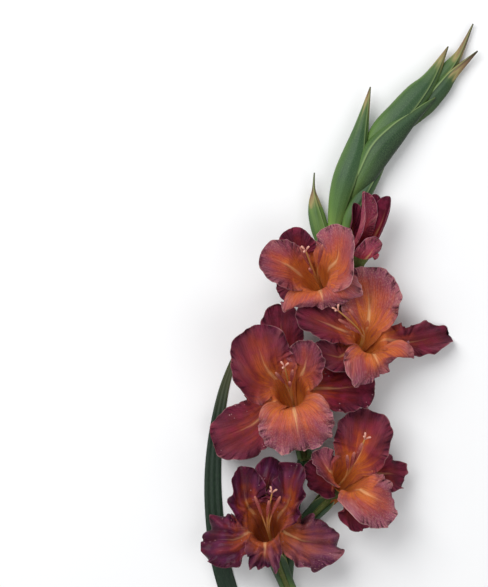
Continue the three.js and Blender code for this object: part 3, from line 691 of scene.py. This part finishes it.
def bud_part(bud, seed):
    """A closed bud: its bract is keeled along the top, and one margin laps over the other."""

    def half(shares):
        return line_at(bud["half"], shares)[:, 0]

    def depth(shares):
        return half(shares) * mix(bud["depth"], 1, shares**BUD_POINT)

    def margin(share):
        """The angle of the lapping margin, which creeps to the middle as the bud narrows."""
        return bud["lap"] - 0.5 * share

    def past_margin(share, angle):
        return np.mod(margin(share) - angle, 2 * np.pi)

    def standing_out(share, angle):
        keel = KEEL_HEIGHT * np.exp(-(((np.mod(angle, 2 * np.pi) - KEEL_ANGLE) / KEEL_WIDTH) ** 2))
        lap = LAP_HEIGHT * (1 - smooth(past_margin(share, angle) / LAP_WIDTH))
        return (keel + lap) * np.sin(np.pi * share) ** 0.5

    curve = partial(line_at, bud["line"])
    body, faces, share_of, angle_of = swept(curve, half, depth, BUD_SIDES, BUD_ROWS, standing_out, margin)
    width = half(share_of)
    past = past_margin(share_of, angle_of) * width
    short_of = (2 * np.pi - past_margin(share_of, angle_of)) * width
    drawn = np.sin(np.pi * share_of) ** 0.3
    sunny = np.maximum(np.abs(np.cos(angle_of)) ** 3, bud.get("sunny", 0))
    # a dry pale line 0.9 mm wide on the margin, and a painted shadow on the bract that it covers
    dry, covered = [np.exp(-((away / wide) ** 2)) * drawn for away, wide in ((past, 0.9), (short_of, 1.6))]
    # the bract's colours stop being green at one place, and each bud is dry from a place of its own on
    living = min(bud["dry"], 0.999)
    dried = DRY_FROM if bud["dry"] > 1 else 1
    place = np.interp(share_of, [0, living, 1], [0, DRY_FROM, dried])
    shape = share_of.shape
    return body, faces, swept_numbers(share_of, angle_of, seed, girth=10) | {
        # the deep green is painted shade: each bud has its own share of it, most on the side at angle 0 and
        # none on the opposite side
        "strand_place": threes(shape, bud["deep"] * (0.5 + 0.5 * np.cos(angle_of)), place, 0),
        "strand_marks": threes(shape, dry, covered, sunny),
    }


def nearest_on(points, place):
    """The point of a smooth line that is nearest to a place."""
    tries = line_at(points, np.linspace(0, 1, 200))
    return tries[np.argmin(np.linalg.norm(tries - place, axis=1))]


def stem_parts():
    """The tapering stem with its pale cut end, and a stub for each bloom to sit on."""

    def radius_at(shares):
        return mix(STEM_RADIUS_FOOT, STEM_RADIUS_TIP, shares**STEM_TAPER)

    curve = partial(line_at, STEM_LINE)
    body, faces, share_of, angle_of = swept(curve, radius_at, radius_at, STEM_SIDES, STEM_ROWS)
    numbers = swept_numbers(share_of, angle_of, seed=1, girth=5)
    numbers["strand_marks"] = threes(share_of.shape, share_of == 0, 0, 0)
    parts = [(body, faces, numbers, MATERIALS["stem"])]
    for bloom in BLOOMS.values():
        foot = tube_ends(bloom)[0]
        root = nearest_on(STEM_LINE, foot)
        stub = rod_part([root, foot], even(STUB_RADIUS), sides=24, rows=8)
        parts.append((*stub, MATERIALS["stem"]))
    return parts


def leaf_part():
    """The sword-shaped leaf: a sheath round the stem that opens into a blade with low ribs."""
    shares = np.linspace(0, 1, LEAF_ROWS + 1)
    points = line_at(LEAF_LINE, shares)
    half = (LEAF_HALF_WIDTH * (1 - shares**LEAF_POINT) ** LEAF_TIP_ROUNDING + LEAF_THICKNESS / 4)[:, None]
    free = smooth(shares / LEAF_CLASP)[:, None]
    column = np.linspace(0, 1, LEAF_COLUMNS + 1)[None]
    u = 2 * column - 1
    core = np.array([nearest_on(STEM_LINE, point) for point in points])
    rib = LEAF_RIB * np.cos(u * np.pi * 1.5) ** 2 * (1 - shares[:, None])
    turn = mix(*LEAF_CLASP_ANGLES, column)
    x = mix(core[:, :1] + LEAF_CLASP_RADIUS * np.cos(turn), points[:, :1] - u * half, free)
    z = mix(core[:, 2:] + LEAF_CLASP_RADIUS * np.sin(turn), points[:, 2:] + rib, free)
    y = np.broadcast_to(points[:, 1:2], x.shape)
    body, faces = sheet(np.stack([x, y, z], -1), LEAF_THICKNESS)
    share = shares[:, None]
    return body, [faces], both_sides(x.shape, strand_place=(0, share, 0), strand_lines=(u * half, share, 5))


# Surfaces

def linear(hex_colour):
    """An sRGB hex colour as the linear colour that shaders take."""
    channels = [int(hex_colour[i:i + 2], 16) / 255 for i in (1, 3, 5)]
    return [c / 12.92 if c <= 0.04045 else ((c + 0.055) / 1.055) ** 2.4 for c in channels] + [1]


def add(tree, kind, inputs, stops=(), **settings):
    """Adds one node and returns its outputs. An input is a value, a hex colour or an output of another.

    Inputs are named or numbered, or a plain list that starts at the first one.
    """
    made = tree.nodes.new(kind if "Node" in kind else "ShaderNode" + kind)
    for name, value in settings.items():
        setattr(made, name, value)
    for socket, value in inputs.items() if isinstance(inputs, dict) else enumerate(inputs):
        if isinstance(value, bpy.types.NodeSocket):
            tree.links.new(value, made.inputs[socket])
        else:
            made.inputs[socket].default_value = linear(value) if isinstance(value, str) else value
    for index, (place, colour) in enumerate(stops):
        elements = made.color_ramp.elements
        element = elements[index] if index < len(elements) else elements.new(place)
        element.position = place
        element.color = linear(colour)
    return made.outputs


def new_material(name, **values):
    """A material with the shader's own numbers set on its sockets."""
    material = bpy.data.materials.new(name)
    material.use_nodes = True
    shader = material.node_tree.nodes["Principled BSDF"]
    for name, value in values.items():
        socket = shader.inputs[name.replace("_", " ")]
        socket.default_value = linear(value) if isinstance(value, str) else value
    return material, material.node_tree, shader


def painted(tree, colour, coats):
    """Lays coats over a colour. Each coat is its paint and the shares that multiply to its strength."""
    for paint, strength, *others in coats:
        for other in others:
            strength = add(tree, "Math", [strength, other], operation="MULTIPLY", use_clamp=True)[0]
        colour = add(tree, "Mix", {0: strength, 6: colour, 7: paint}, data_type="RGBA")[2]
    return colour


def covered_with(tree, shader, colour, height, strength, distance):
    """Gives a shader its colour, and a relief that is this strong over this depth in metres."""
    bump = add(tree, "Bump", {"Height": height, "Strength": strength, "Distance": distance})[0]
    tree.links.new(colour, shader.inputs["Base Color"])
    tree.links.new(bump, shader.inputs["Normal"])


def noises(tree, patterns):
    """Patterns from where they lie, their repeats across and along, and their detail."""
    return [
        add(tree, "TexNoise", {
            "Vector": add(tree, "Mapping", {0: source, 3: (across, along, 1)})[0],
            "Scale": 1.0, "Detail": detail,
        })[0]
        for source, across, along, detail in patterns
    ]


def petal_material(name, fresh, wine, glow_colour, glow_share, patch, haze_and_sheen, rim, frost_sheen, roughness, coat):
    """Gladiolus petal skin, grown from tiny domed cells: matt velvet, a pale frost of painted sheen, and
    veins that fan out.
    """
    material, tree, shader = new_material(
        name, Roughness=roughness, Specular_IOR_Level=0.06, Coat_Weight=coat, Coat_Roughness=0.22,
        Subsurface_Weight=0.06, Subsurface_Radius=(1.0, 0.35, 0.2), Subsurface_Scale=0.002,
    )
    shade, rib, fan, pleat = [
        add(tree, "Attribute", {}, attribute_name="petal_" + kind)[1]
        for kind in ("shade", "rib", "fan", "pleat")
    ]
    gone, from_edge, wine_share = add(tree, "SeparateXYZ", [shade])
    main_vein, glow, fold = add(tree, "SeparateXYZ", [rib])

    # Repeats per millimetre: veins lie about 1.2 mm apart, streaks of colour 6 mm, clouds 14 mm and the
    # creases of the margin 1.7 mm. The cells are far too fine to show, so their grain is drawn 0.8 mm wide.
    veins, streaks, clouds, grain, pleats = noises(tree, [
        (fan, 0.8, 0.07, 2.0), (fan, 0.16, 0.03, 3.0), (fan, 0.07, 0.09, 2.0), (fan, 1.3, 0.55, 4.0),
        (pleat, 0.6, 0.06, 2.0),
    ])

    # Each share is read off a pattern or a place: the range read, then the range that it gives if not 0 to 1
    ranges = {
        "sway": (streaks, 0.2, 0.8, -0.26, 0.26),
        "drift": (clouds, 0.2, 0.8, -0.16, 0.16),
        "margin": (from_edge, 13.0, 0.0),
        "broken": (streaks, 0.3, 0.65, 0.25, 0.75),
        "clear": (wine_share, 0.08, 0.55, 1.0, 0.06),
        "patchy": (clouds, 0.46, 0.66),
        "valley": (fold, 0.0, -1.0, 0.0, 0.6),
        "crest": (fold, 0.0, 1.2, 0.0, 0.35),
        "outside": (wine_share, -0.2, GREEN_TUBE),
        "outwards": (from_edge, 16.0, 1.0, 0.35 * frost_sheen, frost_sheen),
        "specks": (grain, 0.48, 0.62),
        "lines": (veins, 0.5, 0.72, 0.0, 0.42),
        "creases": (pleats, 0.54, 0.62),
        "reach": (from_edge, 9.0, 2.0),
        "edge": (from_edge, 0.9, 0.1),
    }
    at = {key: add(tree, "MapRange", values)[0] for key, values in ranges.items()}

    # the colour runs from the throat out to the margin, unevenly along the streaks and the clouds
    for shift in ("sway", "drift"):
        gone = add(tree, "Math", [gone, at[shift]], operation="ADD")[0]
    place = add(tree, "MapRange", [gone, -0.4, 1.1])[0]
    fresh_colour, wine_colour = [add(tree, "ValToRGB", [place], stops)[0] for stops in (fresh, wine)]
    # the wine-red petals carry a redder haze, redder painted highlights on the crests, a thinner rim and
    # hardly any frost of painted sheen
    skin, smoke_and_sheen, crest = [
        add(tree, "Mix", {0: share, 6: one, 7: other}, data_type="RGBA")[2]
        for share, one, other in [
            (wine_share, fresh_colour, wine_colour),
            (at["clear"], "#52102A", haze_and_sheen),
            (wine_share, "#C98A80", "#8C2C4C"),
        ]
    ]
    kept = add(tree, "MapRange", {0: at["clear"], 3: 0.4, 4: 1.0})[0]
    crease = add(tree, "Math", [at["creases"], at["reach"]], operation="MULTIPLY")[0]
    colour = painted(tree, skin, [
        # a warm glow along the middle, and the cream main vein in it
        (glow_colour, glow, glow_share),
        ("#EBB27C", main_vein, 0.85),
        # smoky haze over the last 13 mm before the margin, partly the petal's own tone and partly painted
        # sheen, and magenta patches scattered over the wine-red petals as painted highlights
        (smoke_and_sheen, at["margin"], at["broken"]),
        (patch, at["patchy"], wine_share, 0.5),
        # painted shade darkens the valleys of the folds, the tube is green outside, and a painted highlight
        # lies on the crests
        ("#3C0E1A", at["valley"]),
        ("#5C6A34", at["outside"]),
        (crest, at["crest"]),
        # painted sheen: pale specks like frost, thicker towards the margin
        ("#D2A08E", at["specks"], at["outwards"], at["clear"]),
        # dark lines of the veins, painted shade in the creases that cross the margin, and a pale line on the
        # rim
        ("#4A1420", at["lines"]),
        ("#35101E", crease, 0.8),
        (rim, at["edge"], at["broken"], kept),
    ])
    height = add(tree, "MapRange", {0: crease, 3: 0.0, 4: -0.9})[0]
    for pattern in (veins, grain):
        height = add(tree, "Math", [pattern, height], operation="ADD")[0]
    covered_with(tree, shader, colour, height, strength=0.7, distance=0.001)
    return material


def bract_material(name, stops, dark_line, pale_line, sunny, roughness):
    """Green leaf skin under a thin wax: straight fine veins run its whole length, with a soft gloss."""
    material, tree, shader = new_material(name, Roughness=roughness, Specular_IOR_Level=0.3)
    place, lines, marks = [
        add(tree, "Attribute", {}, attribute_name="strand_" + kind)[1]
        for kind in ("place", "lines", "marks")
    ]
    deep, along, _ = add(tree, "SeparateXYZ", [place])
    dry, covered, side = add(tree, "SeparateXYZ", [marks])
    # Repeats per millimetre across and along the whole piece: veins lie about 0.8 mm apart, bands of lighter
    # and darker green 8 mm, and the skin's grain is 0.8 mm.
    veins, bands, grain = noises(tree, [
        (lines, 1.3, 1.5, 2.0), (lines, 0.13, 1.8, 2.0), (lines, 1.2, 90.0, 3.0),
    ])
    sway = add(tree, "MapRange", [bands, 0.2, 0.8, -0.06, 0.06])[0]
    swayed = add(tree, "Math", [along, sway], operation="ADD")[0]
    living, uneven, dark, pale = [
        add(tree, "MapRange", values)[0]
        for values in [
            (swayed, 0.88, 0.8), (bands, 0.3, 0.7, 0.2, 0.85), (veins, 0.5, 0.75, 0.0, 0.32),
            (grain, 0.45, 0.75, 0.0, 0.3),
        ]
    ]
    colour = painted(tree, add(tree, "ValToRGB", [swayed], stops)[0], [
        # a yellower green on the sides and a deep one in the shade, but not where the tip is dry
        (sunny, side, uneven, living),
        ("#0E2012", deep, living),
        (dark_line, dark),
        (pale_line, pale),
        # a dry pale line on each margin, and a painted shadow where a margin lies close over the next bract
        ("#93A96C", dry, 0.7),
        (dark_line, covered, 0.7),
    ])
    covered_with(tree, shader, colour, veins, strength=0.25, distance=0.0005)
    return material


def stamen_material(name, stops, roughness, grain_size):
    """A small fleshy part of the flower: smooth, a little translucent, and coloured along its length."""
    material, tree, shader = new_material(
        name, Roughness=roughness, Specular_IOR_Level=0.3, Subsurface_Weight=0.1,
        Subsurface_Radius=(1.0, 0.5, 0.3), Subsurface_Scale=0.001,
    )
    place = add(tree, "Attribute", {}, attribute_name="strand_place")[1]
    _, along, _ = add(tree, "SeparateXYZ", [place])
    where = add(tree, "TexCoord", {})[3]
    # one grain of the surface in millimetres sets the scale of the pattern
    grain = add(tree, "TexNoise", {"Vector": where, "Scale": 1000 / grain_size, "Detail": 2.0})[0]
    sway = add(tree, "MapRange", [grain, 0.2, 0.8, -0.04, 0.04])[0]
    swayed = add(tree, "Math", [along, sway], operation="ADD")[0]
    colour = add(tree, "ValToRGB", [swayed], stops)[0]
    covered_with(tree, shader, colour, grain, strength=0.4, distance=0.0003)
    return material


# Colours from the throat to the margin of a petal, and their places
PLACES = (0.0, 0.18, 0.29, 0.42, 0.58, 0.78, 1.0)
FRESH = list(zip(PLACES, ("#E08030", "#D4722E", "#CC6638", "#BA5646", "#A84E52", "#9C5064", "#743854")))
WINE = list(zip(PLACES, ("#B4541A", "#A03C18", "#862416", "#641016", "#4A0818", "#3A081A", "#260614")))
YOUNG = list(zip(PLACES, ("#7A3418", "#B03444", "#BE3A52", "#BE4058", "#AE4660", "#903A58", "#4A1630")))
MAUVE = [
    (0.0, "#A04C1C"), (0.18, "#A84E22"), (0.32, "#A8502C"), (0.46, "#A45448"), (0.6, "#98505C"),
    (0.78, "#7E4064"), (1.0, "#4A2040"),
]
OLD = [
    (0.0, "#A04C1C"), (0.18, "#9C4618"), (0.34, "#903C18"), (0.47, "#6C201C"), (0.6, "#440E24"),
    (0.78, "#2E0C28"), (1.0, "#1C0616"),
]

MATERIALS = {
    # in full bloom: matt velvet that runs from orange through salmon to wine
    "open": petal_material(
        "fresh_petal_skin", FRESH, WINE, "#D07A42", 0.4, "#8E2440", "#A86478", "#C69A98", 0.5, 0.62, 0.0,
    ),
    # past its best and wet: dark and mauve, with a dull sheen
    "old": petal_material(
        "ageing_petal_skin", MAUVE, OLD, "#A4521E", 0.7, "#5E1E4C", "#8A4A6A", "#A8707C", 0.34, 0.5, 0.12,
    ),
    # still rolled up: even and red, without the frost of painted sheen
    "bud": petal_material(
        "young_petal_skin", YOUNG, WINE, "#B84A50", 0.5, "#9A2C4C", "#A03A58", "#A87482", 0.3, 0.6, 0.0,
    ),
    # the bract: a soft gloss along its length, and a papery brown tip
    "bract": bract_material(
        "waxy_green_bract",
        [(0.0, "#7C9A46"), (0.14, "#56783A"), (0.36, "#32522F"), (0.7, "#2E4E2E"), (0.82, "#4C6636"),
         (0.88, "#9A8A58"), (0.93, "#7E5C42"), (0.97, "#4A2E24"), (1.0, "#2A1812")],
        "#122618", "#6A8A58", "#6F8C3E", 0.5,
    ),
    # the stalk: one narrow highlight shows that it is round
    "stem": bract_material(
        "smooth_green_stalk", [(0.0, "#2C4626"), (0.5, "#243E22"), (1.0, "#34562C")], "#14281A", "#4F6B3E",
        "#4F6B3E", 0.45,
    ),
    # the leaf: dark, and its ribs break the highlight into lines
    "leaf": bract_material(
        "ribbed_sword_leaf", [(0.0, "#5A7040"), (0.15, "#182C1C"), (0.8, "#162A1C"), (1.0, "#50502E")],
        "#08140C", "#3A543A", "#33502E", 0.45,
    ),
    # filaments are moist threads, anthers are dusty, and the stigma's pale lobes are velvety
    "filament": stamen_material("fleshy_filament", [(0.0, "#A8722A"), (1.0, "#BC864A")], 0.5, 1.1),
    "anther": stamen_material(
        "pollen_sac",
        [(0.0, "#A8722A"), (0.6, "#B0703A"), (0.68, "#9A4238"), (0.85, "#8E3A38"), (1.0, "#B0685A")],
        0.6, 0.7,
    ),
    "stigma": stamen_material("stigma_lobe", [(0.0, "#B87062"), (1.0, "#DEA896")], 0.55, 0.7),
}


# Pieces

def added(name, data):
    """A new object in the scene."""
    thing = bpy.data.objects.new(name, data)
    bpy.context.scene.collection.objects.link(thing)
    return thing


def joined(name, parts):
    """One mesh with the points and faces of several parts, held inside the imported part's box."""
    mesh = bpy.data.meshes.new(name)
    points, faces = np.zeros((0, 3)), []
    for part_points, blocks, *_ in parts:
        for block in blocks:
            faces.extend((block + len(points)).tolist())
        points = np.concatenate([points, part_points])
    mesh.from_pydata(np.clip((points + SHIFT) * MM, *CAD_BOX).tolist(), [], faces)
    return mesh


def add_piece(name, node, slot, parts):
    """A piece from parts, which are points, lists of faces, numbers at each point and a material."""
    mesh = joined(name, parts)
    numbers, surfaces, rounded = {}, [], []
    first = 0
    for points, blocks, part_numbers, material in parts:
        if mesh.materials.find(material.name) < 0:
            mesh.materials.append(material)
        for block in blocks:
            surfaces.extend([mesh.materials.find(material.name)] * len(block))
            # the end caps are the only triangles, and they stay flat
            rounded.extend([block.shape[1] == 4] * len(block))
        after = first + len(points)
        for attribute, values in part_numbers.items():
            numbers.setdefault(attribute, np.zeros((len(mesh.vertices), 3)))[first:after] = values
        first = after
    for attribute, values in numbers.items():
        carried = mesh.attributes.new(attribute, "FLOAT_VECTOR", "POINT")
        carried.data.foreach_set("vector", values.ravel())
    mesh.polygons.foreach_set("material_index", surfaces)
    mesh.polygons.foreach_set("use_smooth", rounded)
    mesh.update()
    piece = added(name, mesh)
    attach(piece, "root")
    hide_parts(node)


PETAL_LOOKS = {"e": ("old", "petals_old"), "half_open": ("bud", "petals_bud")}
WET_PARTS, POLLEN_PARTS = [], []

for number, (key, bloom) in enumerate(BLOOMS.items()):
    look, petal_slot = PETAL_LOOKS.get(key, ("open", "petals_open"))
    skin = MATERIALS[look]
    parts = [(*petal_part(bloom, i, 10 * number + i + 1), skin) for i in range(len(bloom["petals"]))]
    WET_PARTS += [parts[i] for i in bloom.get("wet", ())]
    parts.append((*tube_part(bloom), skin))
    add_piece(f"{key}_petals", f"bloom_{key}_petals", petal_slot, parts)
    if "stigma" in bloom:
        stamens = stamen_parts(bloom, 10 * number)
        POLLEN_PARTS += [part for part in stamens if part[3] == MATERIALS["anther"]]
        add_piece(f"{key}_stamens", f"bloom_{key}_stamens", "stamens", stamens)
    spathe = (*spathe_part(bloom, number), MATERIALS["bract"])
    add_piece(f"{key}_spathe", f"bloom_{key}_spathe", "bract", [spathe])

for number, (name, bud) in enumerate(BUDS.items()):
    add_piece(f"{name}_bud", name, "bract", [(*bud_part(bud, 20 + number), MATERIALS["bract"])])

add_piece("stalk", "stem", "stem", stem_parts())
add_piece("sword_leaf", "leaf", "leaf", [(*leaf_part(), MATERIALS["leaf"])])


# What repeats: beads of water on the petals, and pollen on the anthers

def grain_tree():
    """Scatters rounded grains in clumps over the upward faces of a mesh, and leaves only the grains."""
    tree = bpy.data.node_groups.new("scattered_grains", "GeometryNodeTree")
    sockets = {
        "Petal or anther": "Geometry", "Grains per square metre": "Float", "Smallest radius": "Float",
        "Largest radius": "Float", "Height share": "Float", "Clumps per metre": "Float", "Roundness": "Int",
        "Seed": "Int", "Finish": "Material",
    }
    for name, kind in sockets.items():
        tree.interface.new_socket(name, in_out="INPUT", socket_type="NodeSocket" + kind)
    tree.interface.new_socket("Grains", in_out="OUTPUT", socket_type="NodeSocketGeometry")
    given = add(tree, "NodeGroupInput", {})
    normal = add(tree, "GeometryNodeInputNormal", {})[0]
    _, _, up = add(tree, "SeparateXYZ", [normal])
    # drops and pollen lie only where the surface faces within 70 degrees of straight up
    upward = add(tree, "FunctionNodeCompare", [up, 0.35], data_type="FLOAT", operation="GREATER_THAN")[0]
    clumps = add(tree, "TexNoise", {"Scale": given["Clumps per metre"], "Detail": 1.0})[0]
    crowded = add(tree, "MapRange", [clumps, 0.48, 0.62])[0]
    most = given["Grains per square metre"]
    density = add(tree, "Math", [crowded, most], operation="MULTIPLY")[0]
    spots = add(tree, "GeometryNodeDistributePointsOnFaces", {
        "Mesh": given["Petal or anther"], "Selection": upward, "Density": density, "Seed": given["Seed"],
    })
    sphere = {"Radius": 1.0, "Subdivisions": given["Roundness"]}
    ball = add(tree, "GeometryNodeMeshIcoSphere", sphere)["Mesh"]
    radius = add(tree, "FunctionNodeRandomValue", {
        2: given["Smallest radius"], 3: given["Largest radius"], "Seed": given["Seed"],
    }, data_type="FLOAT")[1]
    height = add(tree, "Math", [radius, given["Height share"]], operation="MULTIPLY")[0]
    size = add(tree, "CombineXYZ", [radius, radius, height])[0]
    grains = add(tree, "GeometryNodeInstanceOnPoints", {
        "Points": spots["Points"], "Instance": ball, "Rotation": spots["Rotation"], "Scale": size,
    })[0]
    rounded = add(tree, "GeometryNodeSetShadeSmooth", {"Geometry": grains})[0]
    plain = add(tree, "GeometryNodeRealizeInstances", {"Geometry": rounded})[0]
    finished = add(tree, "GeometryNodeSetMaterial", {"Geometry": plain, "Material": given["Finish"]})[0]
    add(tree, "NodeGroupOutput", {"Grains": finished})
    return tree


def add_grains(name, slot, parts, **inputs):
    """A piece of its own with the grains that the tree scatters over the given parts."""
    mesh = joined(name, parts)
    carrier = added(name + "_carrier", mesh)
    modifier = carrier.modifiers.new("grains", "NODES")
    modifier.node_group = GRAINS
    for socket in GRAINS.interface.items_tree:
        value = inputs.get(socket.name.lower().replace(" ", "_"))
        if value is not None:
            modifier[socket.identifier] = value
    evaluated = carrier.evaluated_get(bpy.context.evaluated_depsgraph_get())
    grains = bpy.data.meshes.new_from_object(evaluated)
    carrier.modifiers.remove(modifier)
    bpy.data.objects.remove(carrier)
    bpy.data.meshes.remove(mesh)
    piece = added(name, grains)
    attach(piece, "root")


# a bead of water: a hard point of light on it, and the petal's colour through it, say that the petal is wet
WATER, _, _ = new_material(
    "bead_of_water", Base_Color="#C48A90", Roughness=0.06, IOR=1.33, Transmission_Weight=0.4,
)
# mauve pollen: a dry powder with hardly any gloss, which makes the anthers look soft and grainy
POLLEN, _, _ = new_material(
    "mauve_pollen", Base_Color="#B07A6E", Roughness=0.8, Specular_IOR_Level=0.2,
)

GRAINS = grain_tree()
# the drops and the pollen are drawn coarser than real ones, which would be too fine to show
add_grains(
    "water_beads", "petals_open", WET_PARTS, grains_per_square_metre=14000.0, smallest_radius=0.0003,
    largest_radius=0.0007, height_share=0.6, clumps_per_metre=60.0, roundness=2, seed=7, finish=WATER,
)
add_grains(
    "pollen_grains", "stamens", POLLEN_PARTS, grains_per_square_metre=1.2e6, smallest_radius=0.00015,
    largest_radius=0.0003, height_share=0.8, clumps_per_metre=400.0, roundness=1, seed=11, finish=POLLEN,
)


# Floor, light and camera

FLOOR = 3.0
VIEW_CENTRE = (-0.087, 0.103)
LIT_HEIGHT = 0.04
# the photograph takes in this much from top to bottom, at this height and this far below the camera
PHOTO_TALL = 0.5283
PHOTO_PLANE = 0.045
CAMERA_ABOVE = 3.0


def add_floor():
    """The surface that the spike lies on."""
    corners = [(-FLOOR, -FLOOR, 0), (FLOOR, -FLOOR, 0), (FLOOR, FLOOR, 0), (-FLOOR, FLOOR, 0)]
    mesh = bpy.data.meshes.new("floor")
    mesh.from_pydata(corners, [], [(0, 1, 2, 3)])
    # matt white board: it throws light back evenly, so only the soft shadow shows where the spike lies
    board, _, _ = new_material("matt_white_board", Base_Color="#F4F4F4", Roughness=0.9)
    mesh.materials.append(board)
    floor = added("floor", mesh)


def add_light(name, place, size, power):
    """A square lamp that faces the blooms."""
    lamp = bpy.data.lights.new(name, "AREA")
    lamp.size = size
    lamp.energy = power
    light = added(name, lamp)
    light.location = place
    x, y, z = np.array((*VIEW_CENTRE, LIT_HEIGHT)) - np.array(place)
    light.rotation_euler = (math.atan2(math.hypot(x, y), -z), 0, math.atan2(-x, y))


add_floor()
add_light("key", (-0.8, 0.9, 1.6), size=1.4, power=31)
add_light("fill", (0.9, -0.6, 1.6), size=1.4, power=8)

world = bpy.data.worlds.new("studio")
world.use_nodes = True
sky = world.node_tree.nodes["Background"].inputs
sky["Color"].default_value = linear("#F2F4F7")
sky["Strength"].default_value = 0.48
bpy.context.scene.world = world
bpy.context.scene.view_settings.view_transform = "Standard"

lens = bpy.data.cameras.new("camera")
lens.sensor_width = 36
lens.lens = lens.sensor_width * CAMERA_ABOVE / PHOTO_TALL
camera = added("camera", lens)
camera.location = (*VIEW_CENTRE, CAMERA_ABOVE + PHOTO_PLANE)
bpy.context.scene.camera = camera

bpy.context.view_layer.update()
